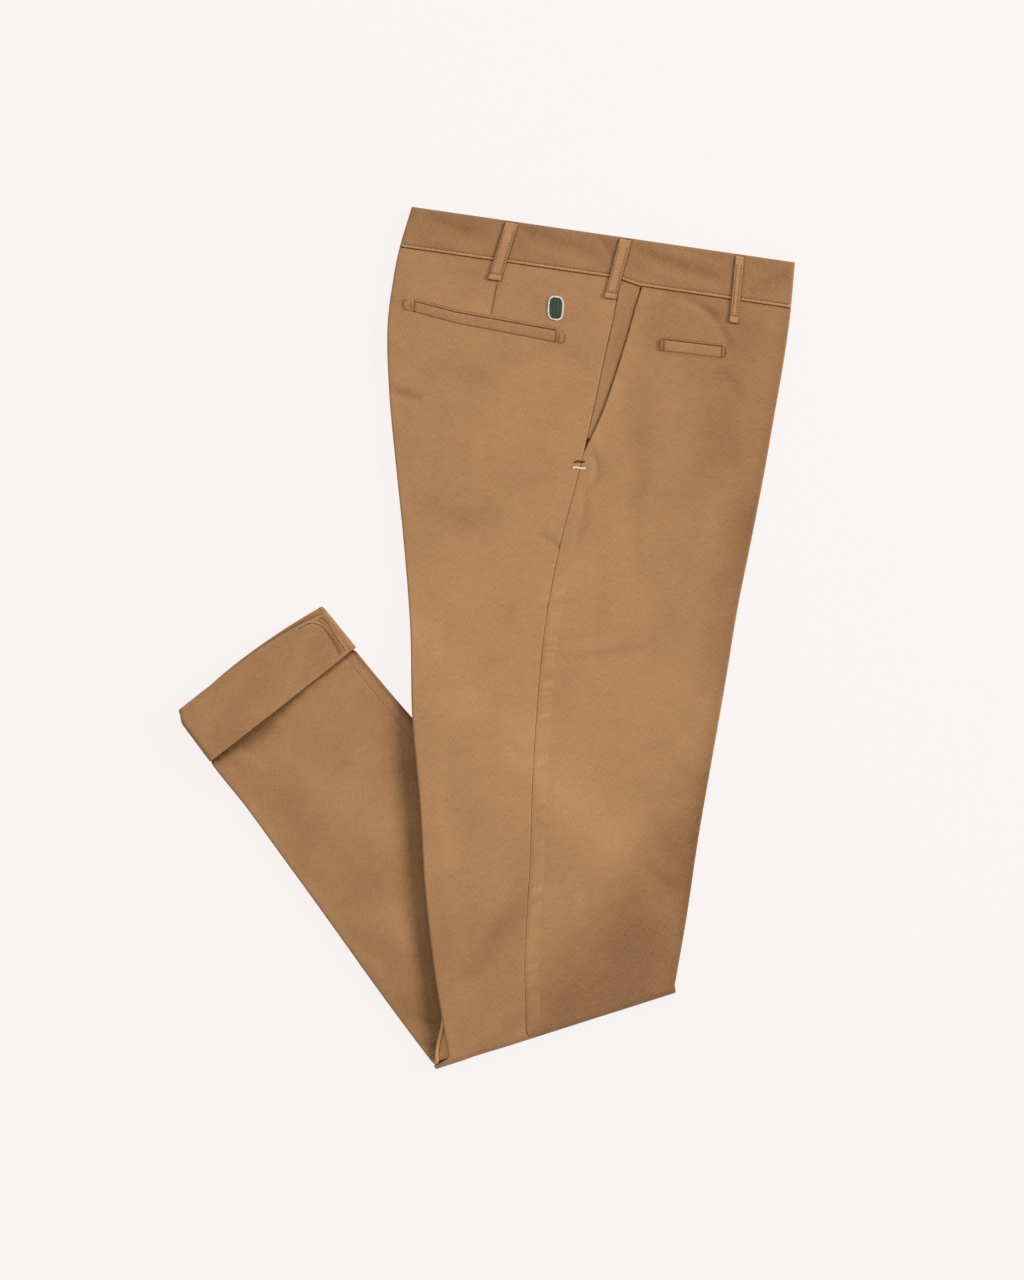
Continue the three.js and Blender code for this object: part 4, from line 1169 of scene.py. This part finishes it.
def turn_up(name, leg, fine):
    """A turn-up, as rings round the leg. A ring's place is counted from the free edge, as a share of the
    face, or from the turned hem, and its inset from the outer face."""
    middle = cuff_height / 2 if leg == "right" else cuff_height * 1.5 + seam_gap
    radius = cuff_height / 2
    lip = (cuff_height - cuff_slit) / 2
    edge_turns = np.radians(np.arange(-67.5, 68, 22.5))
    edge = [("free", 1 - math.cos(turn), cuff_wall / 2 * (1 - math.sin(turn))) for turn in edge_turns]
    outer = [("share", share, 0) for share in np.linspace(0, 1, round(46 / fine))]
    hem_turns = np.radians(np.arange(15, 90, 15))
    hem = [
        ("turn", hem_radius * (1 - math.sin(turn)), hem_radius * (1 - math.cos(turn))) for turn in hem_turns
    ]
    hem += [("turn", 0, 2.6), ("turn", 0.2, 3.1), ("turn", 0.8, lip), ("turn", 2, lip), ("turn", 2.4, 2.7)]
    inner = [("share", share, cuff_wall) for share in np.linspace(1, 0, 8)]
    profile = edge + outer + hem + inner
    straight, arc = round(148 / fine), np.radians(np.arange(15, 180, 15))
    around = [(share, 1, 0) for share in np.linspace(0, 1, straight)]
    around += [(1, math.cos(turn), math.sin(turn)) for turn in arc]
    around += [(share, -1, 0) for share in np.linspace(1, 0, straight)]
    around += [(0, -math.cos(turn), -math.sin(turn)) for turn in arc]
    around += around[:1]
    share_of, up, end = (np.array(column, float)[None, :] for column in zip(*around))
    rough = mix(-cuff_half_width, cuff_half_width, share_of)
    free, turn = free_edge_at(rough), turn_edge_at(rough, leg)
    down = []
    for kind, value, _ in profile:
        if kind == "free":
            down.append(free + value)
        if kind == "share":
            down.append(mix(free + cuff_wall / 2, turn - hem_radius, value))
        if kind == "turn":
            down.append(turn - value)
    down = np.concatenate(down, axis=0)
    down = np.broadcast_to(down, (len(profile), share_of.shape[1]))
    inset = np.array([inset for _, _, inset in profile])[:, None]
    shift = right_leg_shift if leg == "right" else 0
    back = -width(calf_start + down, "back") + radius + shift + corner_pull_at(down)
    front = width(calf_start + down, "front") - radius + shift
    across = mix(back, front, share_of) + end * (radius - inset)
    stand = cuff_stand(down, across, rough) * np.clip(up, 0, 1) * (leg == "left")
    relief = cuff_relief(down, across) * (leg == "left") + 0.12 * ripple(down, across, 20, 33.3)
    relief = np.where(up < -0.2, np.minimum(relief - 0.2, 0), relief)
    on_face = (inset < 0.3) * soft((np.abs(up) - 0.3) / 0.5)
    points = place(calf_start + down, across, 0 * down)
    points[..., 2] = (middle + up * (radius - inset) + stand + np.sign(up) * relief * on_face) * millimetre
    # Painted light and shade on the relief and the inner wall, with the table's edge and front-end tones.
    tone = cuff_tones["raised"] * np.clip(relief, -1, 1) * on_face + cuff_tones["inner"] * (inset > 1.9)
    tone = tone + cuff_tones["rim"] * (np.abs(inset - 0.5) < 0.45)
    tone = tone + cuff_tones["front"] * soft((across - cuff_front["from"]) / cuff_front["over"]) * (up > 0.2)
    cloth = np.stack((across, -down), axis=-1)
    points, cloth, tone = (np.concatenate((part, part[:1]), axis=0) for part in (points, cloth, tone))
    piece = cloth_piece(name, points, cloth, tone, merge=True)
    piece.data.materials.append(twill_inside)
    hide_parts(f"{leg}_cuff")


turn_up("left_turn_up", "left", 2.2)
turn_up("right_turn_up", "right", 4)

# The sewing thread: rows of lockstitch in the cloth's own colour along the waist seam, the belt loops and
# the pocket lips, dense bar tacks at the loops' feet and the pockets' ends, and at the slanted pocket's
# end one tack in black thread and one in white.
def thread_material(name, colour, rough=0.7):
    """Twisted thread: fine noise over the piece varies the colour, and bump gives it strands."""
    material = bpy.data.materials.new(name)
    material.use_nodes = True
    tree = material.node_tree
    surface = tree.nodes["Principled BSDF"]
    where = shader_node(tree, "ShaderNodeTexCoord").outputs["Object"]
    strands = noise_node(tree, where, 2600.0, 2.0)
    dark = [0.72 * c for c in colour]
    light = [min(1, 1.28 * c) for c in colour]
    tree.links.new(colour_mix(tree, strands, dark, light), surface.inputs["Base Color"])
    bump = shader_node(tree, "ShaderNodeBump", Strength=0.4, Distance=0.2 * millimetre, Height=strands)
    tree.links.new(bump.outputs["Normal"], surface.inputs["Normal"])
    surface.inputs["Roughness"].default_value = rough
    surface.inputs["Sheen Weight"].default_value = 0.2
    return material


def add_stitches(bm, line, height_of, pitch=2.8, length=2.2, thick=0.5, crosswise=False, cut_corners=True):
    """Stitches one after another on a line of the cloth, or side by side across it as in a tack."""
    points = rounded(line) if cut_corners else np.array(line, float)
    steps = np.hypot(*np.diff(points, axis=0).T)
    way = np.concatenate(((0,), np.cumsum(steps)))
    count = max(2, round(way[-1] / pitch))
    spots_at = (np.arange(count) + 0.5) * way[-1] / count
    ahead_at = spots_at + 0.2
    here = [np.interp(spots_at, way, points[:, i]) for i in (0, 1)]
    ahead = [np.interp(ahead_at, way, points[:, i]) for i in (0, 1)]
    centres = place(here[0], here[1], height_of(here[0], here[1]))
    tips = place(ahead[0], ahead[1], height_of(ahead[0], ahead[1]))
    for centre, tip in zip(centres, tips):
        forward = Vector(tip - centre)
        if forward.length < 1e-9:
            continue
        forward.normalize()
        side = Vector((0, 0, 1)).cross(forward).normalized()
        if crosswise:
            forward, side = side, -forward
        up = side.cross(forward) * -1
        turn = Matrix((side * thick, up * thick * 0.8, forward * length)).transposed().to_4x4()
        turn = Matrix.Translation(Vector(centre)) @ turn @ Matrix.Scale(millimetre / 2, 4)
        bmesh.ops.create_uvsphere(bm, u_segments=6, v_segments=4, radius=1, matrix=turn)


def thread_piece(name, bm, material):
    """The collected stitches made one piece of thread."""
    bmesh.ops.recalc_face_normals(bm, faces=bm.faces)
    for face in bm.faces:
        face.smooth = True
    mesh = bpy.data.meshes.new(name)
    bm.to_mesh(mesh)
    bm.free()
    piece = bpy.data.objects.new(name, mesh)
    bpy.context.collection.objects.link(piece)
    mesh.materials.append(material)
    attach(piece, "root")


def band_height(down, across):
    return right_outer + band_proud + band_relief(down, across, band_edge(across)) + 0.3


def back_height(down, across):
    return right_outer + right_back_relief(down, across) + 0.18


def front_height(down, across):
    lip = mouth_lip(down, across, mouth_at(down))
    return right_outer + right_front_relief(down, across) + lip + 0.18


own_thread = thread_material("own_thread", (0.085, 0.04, 0.016))
rust_thread = thread_material("rust_thread", (0.26, 0.1, 0.034))
bm = bmesh.new()
row_across = np.linspace(-171, 163, 60)
waist_row = np.stack((band_edge(row_across) - band_stitch["up"], row_across), axis=1)
add_stitches(bm, waist_row, band_height, length=1.5, thick=1.0, cut_corners=False)
thread_piece("waist_seam_stitches", bm, own_thread)

bm, tacks = bmesh.new(), bmesh.new()
dart_line = [(55, -88.4), (62, -89.4), (79.5, -91.6)]
add_stitches(bm, dart_line, lambda d, a: back_height(d, a) + 0.3, pitch=1.5, length=1.8, thick=0.6)
for loop in loops:
    inset = loop["width"] / 2 - 1.9
    shares = np.linspace(0.12, 0.87, 30)
    for side in (-1, 1):
        down, across, base = loop_line(loop, shares)
        row = np.stack((down, across + side * inset), axis=1)
        on_loop = lambda d, a: np.interp(d, down, base) + loop_thickness + 0.1
        add_stitches(bm, row, on_loop, pitch=2.6, length=1.6, thick=0.85, cut_corners=False)
    foot_down, foot_across, foot_base = loop_line(loop, np.array((0.87, loop_foot["share"] - 0.005, 0.93)))
    on_foot = lambda d, a: float(foot_base[1]) + loop_thickness * 0.62 + 0.08 + 0 * d
    half = loop["width"] / 2 - 0.4
    foot_row = [(foot_down[1], foot_across[1] - half), (foot_down[1], foot_across[1] + half)]
    add_stitches(tacks, foot_row, on_foot, pitch=0.5, length=1.7, thick=0.42, crosswise=True)

for welt in welts:
    on_panel = back_height if welt["name"] == "back_pocket" else front_height
    on_lip = lambda d, a: on_panel(d, a) + 0.62 * welt_thickness
    length = welt["line"][-1][1] - welt["line"][0][1]
    tabs = welt["tab"][0] / length, 1 - welt["tab"][1] / length
    shares = np.linspace(tabs[0], tabs[1], 60)
    middle, over, tall = welt_place(welt, shares)
    for reach, height_of, thick in ((-tall / 2 - 1.5, on_panel, 0.85), (0.78 * tall / 2, on_lip, 0.62)):
        row = np.stack((middle + reach, over), axis=1)
        add_stitches(tacks, row, height_of, pitch=2.7, length=1.3, thick=thick, cut_corners=False)
    if welt["name"] == "coin_pocket":
        row = np.stack((middle + tall / 2 + 1.2, over), axis=1)
        add_stitches(tacks, row, on_panel, pitch=2.7, length=1.3, thick=0.6, cut_corners=False)
    for end, tab_share in zip((-1, 1), tabs):
        for step in (0, 3.0):
            middle, over, tall = welt_place(welt, np.array(tab_share + end * step / length))
            reach = tall / 2 - 0.5 - 0.14 * step
            bar = [(middle - reach - 1.2 * (step == 0), over), (middle + reach, over)]
            add_stitches(tacks, bar, on_lip, pitch=0.7, length=1.5, thick=0.6, crosswise=True)
        middle, over, tall = welt_place(welt, np.array(0.5 + end * 0.5))
        turns = np.radians(np.linspace(-78, 78, 20))
        round_end = over + end * (tall / welt_end * (np.cos(turns) - 1) - 0.3)
        outline = np.stack((middle + (tall / 2 - 0.2) * np.sin(turns), round_end), axis=1)
        add_stitches(tacks, outline, on_lip, pitch=1.2, length=1.0, thick=0.9, cut_corners=False)
thread_piece("loop_and_pocket_stitches", bm, own_thread)
thread_piece("loop_and_pocket_tacks", tacks, rust_thread)

black_thread = thread_material("black_thread", (0.018, 0.016, 0.014))
white_thread = thread_material("white_thread", (0.75, 0.7, 0.62))
mouth_tacks = [
    ("black_tack", black_thread, [(196.6, -13.2), (195.1, -9.8), (196.3, -7.2), (195.5, -4.4)]),
    ("white_tack", white_thread, [(201.4, -14.4), (200.7, -10.9), (201.8, -7.3), (201.2, -3.4)]),
]
on_seam = lambda d, a: right_outer + 0.35 + 0 * d
for name, thread, line in mouth_tacks:
    bm = bmesh.new()
    add_stitches(bm, line, on_seam, pitch=0.5, length=1.8, thick=0.7, crosswise=True)
    thread_piece(name, bm, thread)

# The left turn-up's overlocked seam: cross threads over the strip and a line of thread along each side.
overlock_sides = [
    [(408, 50), (405.5, 62), (393.2, 67.2), (382, 66.2), (373.4, 64.2), (367, 62.5)],
    [(402, 69.5), (398.2, 72.1), (389.2, 70.9), (380.2, 69.4), (369.1, 68.3), (367, 68)],
]
hem_margin = 3


def cuff_face(down, across):
    """Levels that put a thread on the left turn-up's outer face, for places counted from the fold."""
    down = down - calf_start
    base = place(calf_start + down, across, 0 * down)[..., 2] / millimetre
    stand = cuff_stand(down, across, across)
    face = cuff_height * 2 + seam_gap + stand + cuff_relief(down, across)
    return base - face - 0.12


bm = bmesh.new()
overlock_rows = []
for line in overlock_sides:
    row = np.array(line)
    row[:, 0] = calf_start + np.minimum(row[:, 0], turn_edge_at(row[:, 1], "left") - hem_margin)
    overlock_rows.append(row)
    add_stitches(bm, row, cuff_face, pitch=1.5, length=1.6, thick=0.85)
middle_row = (overlock_rows[0][1:] + overlock_rows[1][1:]) / 2
add_stitches(bm, middle_row, cuff_face, pitch=1.8, length=3.6, thick=0.55, crosswise=True)
thread_piece("overlock_threads", bm, thread_material("overlock_thread", (0.14, 0.057, 0.02)))

# The tab over the back pocket: a plain upright one in dark green satin stitch with an off-white
# whipped edge, and no figure, letter or sign on it.
badge = {"down": 68.7, "across": -37.2, "wide": 12.5, "tall": 19, "thick": 0.55, "corner": 3.2}
green_thread = thread_material("green_thread", (0.014, 0.05, 0.026), rough=0.5)


def badge_outline(turn):
    """A rounded oblong's edge at a turn, as shares of its half width and half height."""
    c, s = np.cos(turn), np.sin(turn)
    power = 2 / badge["corner"]
    return np.sign(c) * np.abs(c) ** power, np.sign(s) * np.abs(s) ** power


bm = bmesh.new()
rows_of_satin = 44
on_cloth = lambda d, a: back_height(d, a) + badge["thick"] * 0.4
for share in np.linspace(-0.97, 0.97, rows_of_satin):
    half = (1 - abs(share) ** badge["corner"]) ** (1 / badge["corner"]) * badge["wide"] / 2 - 0.5
    if half < 1:
        continue
    down = badge["down"] + share * badge["tall"] / 2
    for part in (-0.5, 0.5):
        middle = badge["across"] + part * half
        row = [(down, middle - half / 2), (down, middle + half / 2)]
        add_stitches(bm, row, on_cloth, pitch=half, length=half * 1.04 / 2, thick=0.62, cut_corners=False)
thread_piece("badge_field", bm, green_thread)
bm = bmesh.new()
turns = np.linspace(0, math.tau, 150, endpoint=False)
x, y = badge_outline(turns)
outline = np.stack((badge["down"] + y * badge["tall"] / 2, badge["across"] + x * badge["wide"] / 2), axis=1)
outline = np.vstack((outline, outline[:1]))
on_rim = lambda d, a: back_height(d, a) + badge["thick"] * 0.5
add_stitches(bm, outline, on_rim, pitch=0.42, length=1.7, thick=0.5, crosswise=True, cut_corners=False)
thread_piece("badge_edge", bm, white_thread)
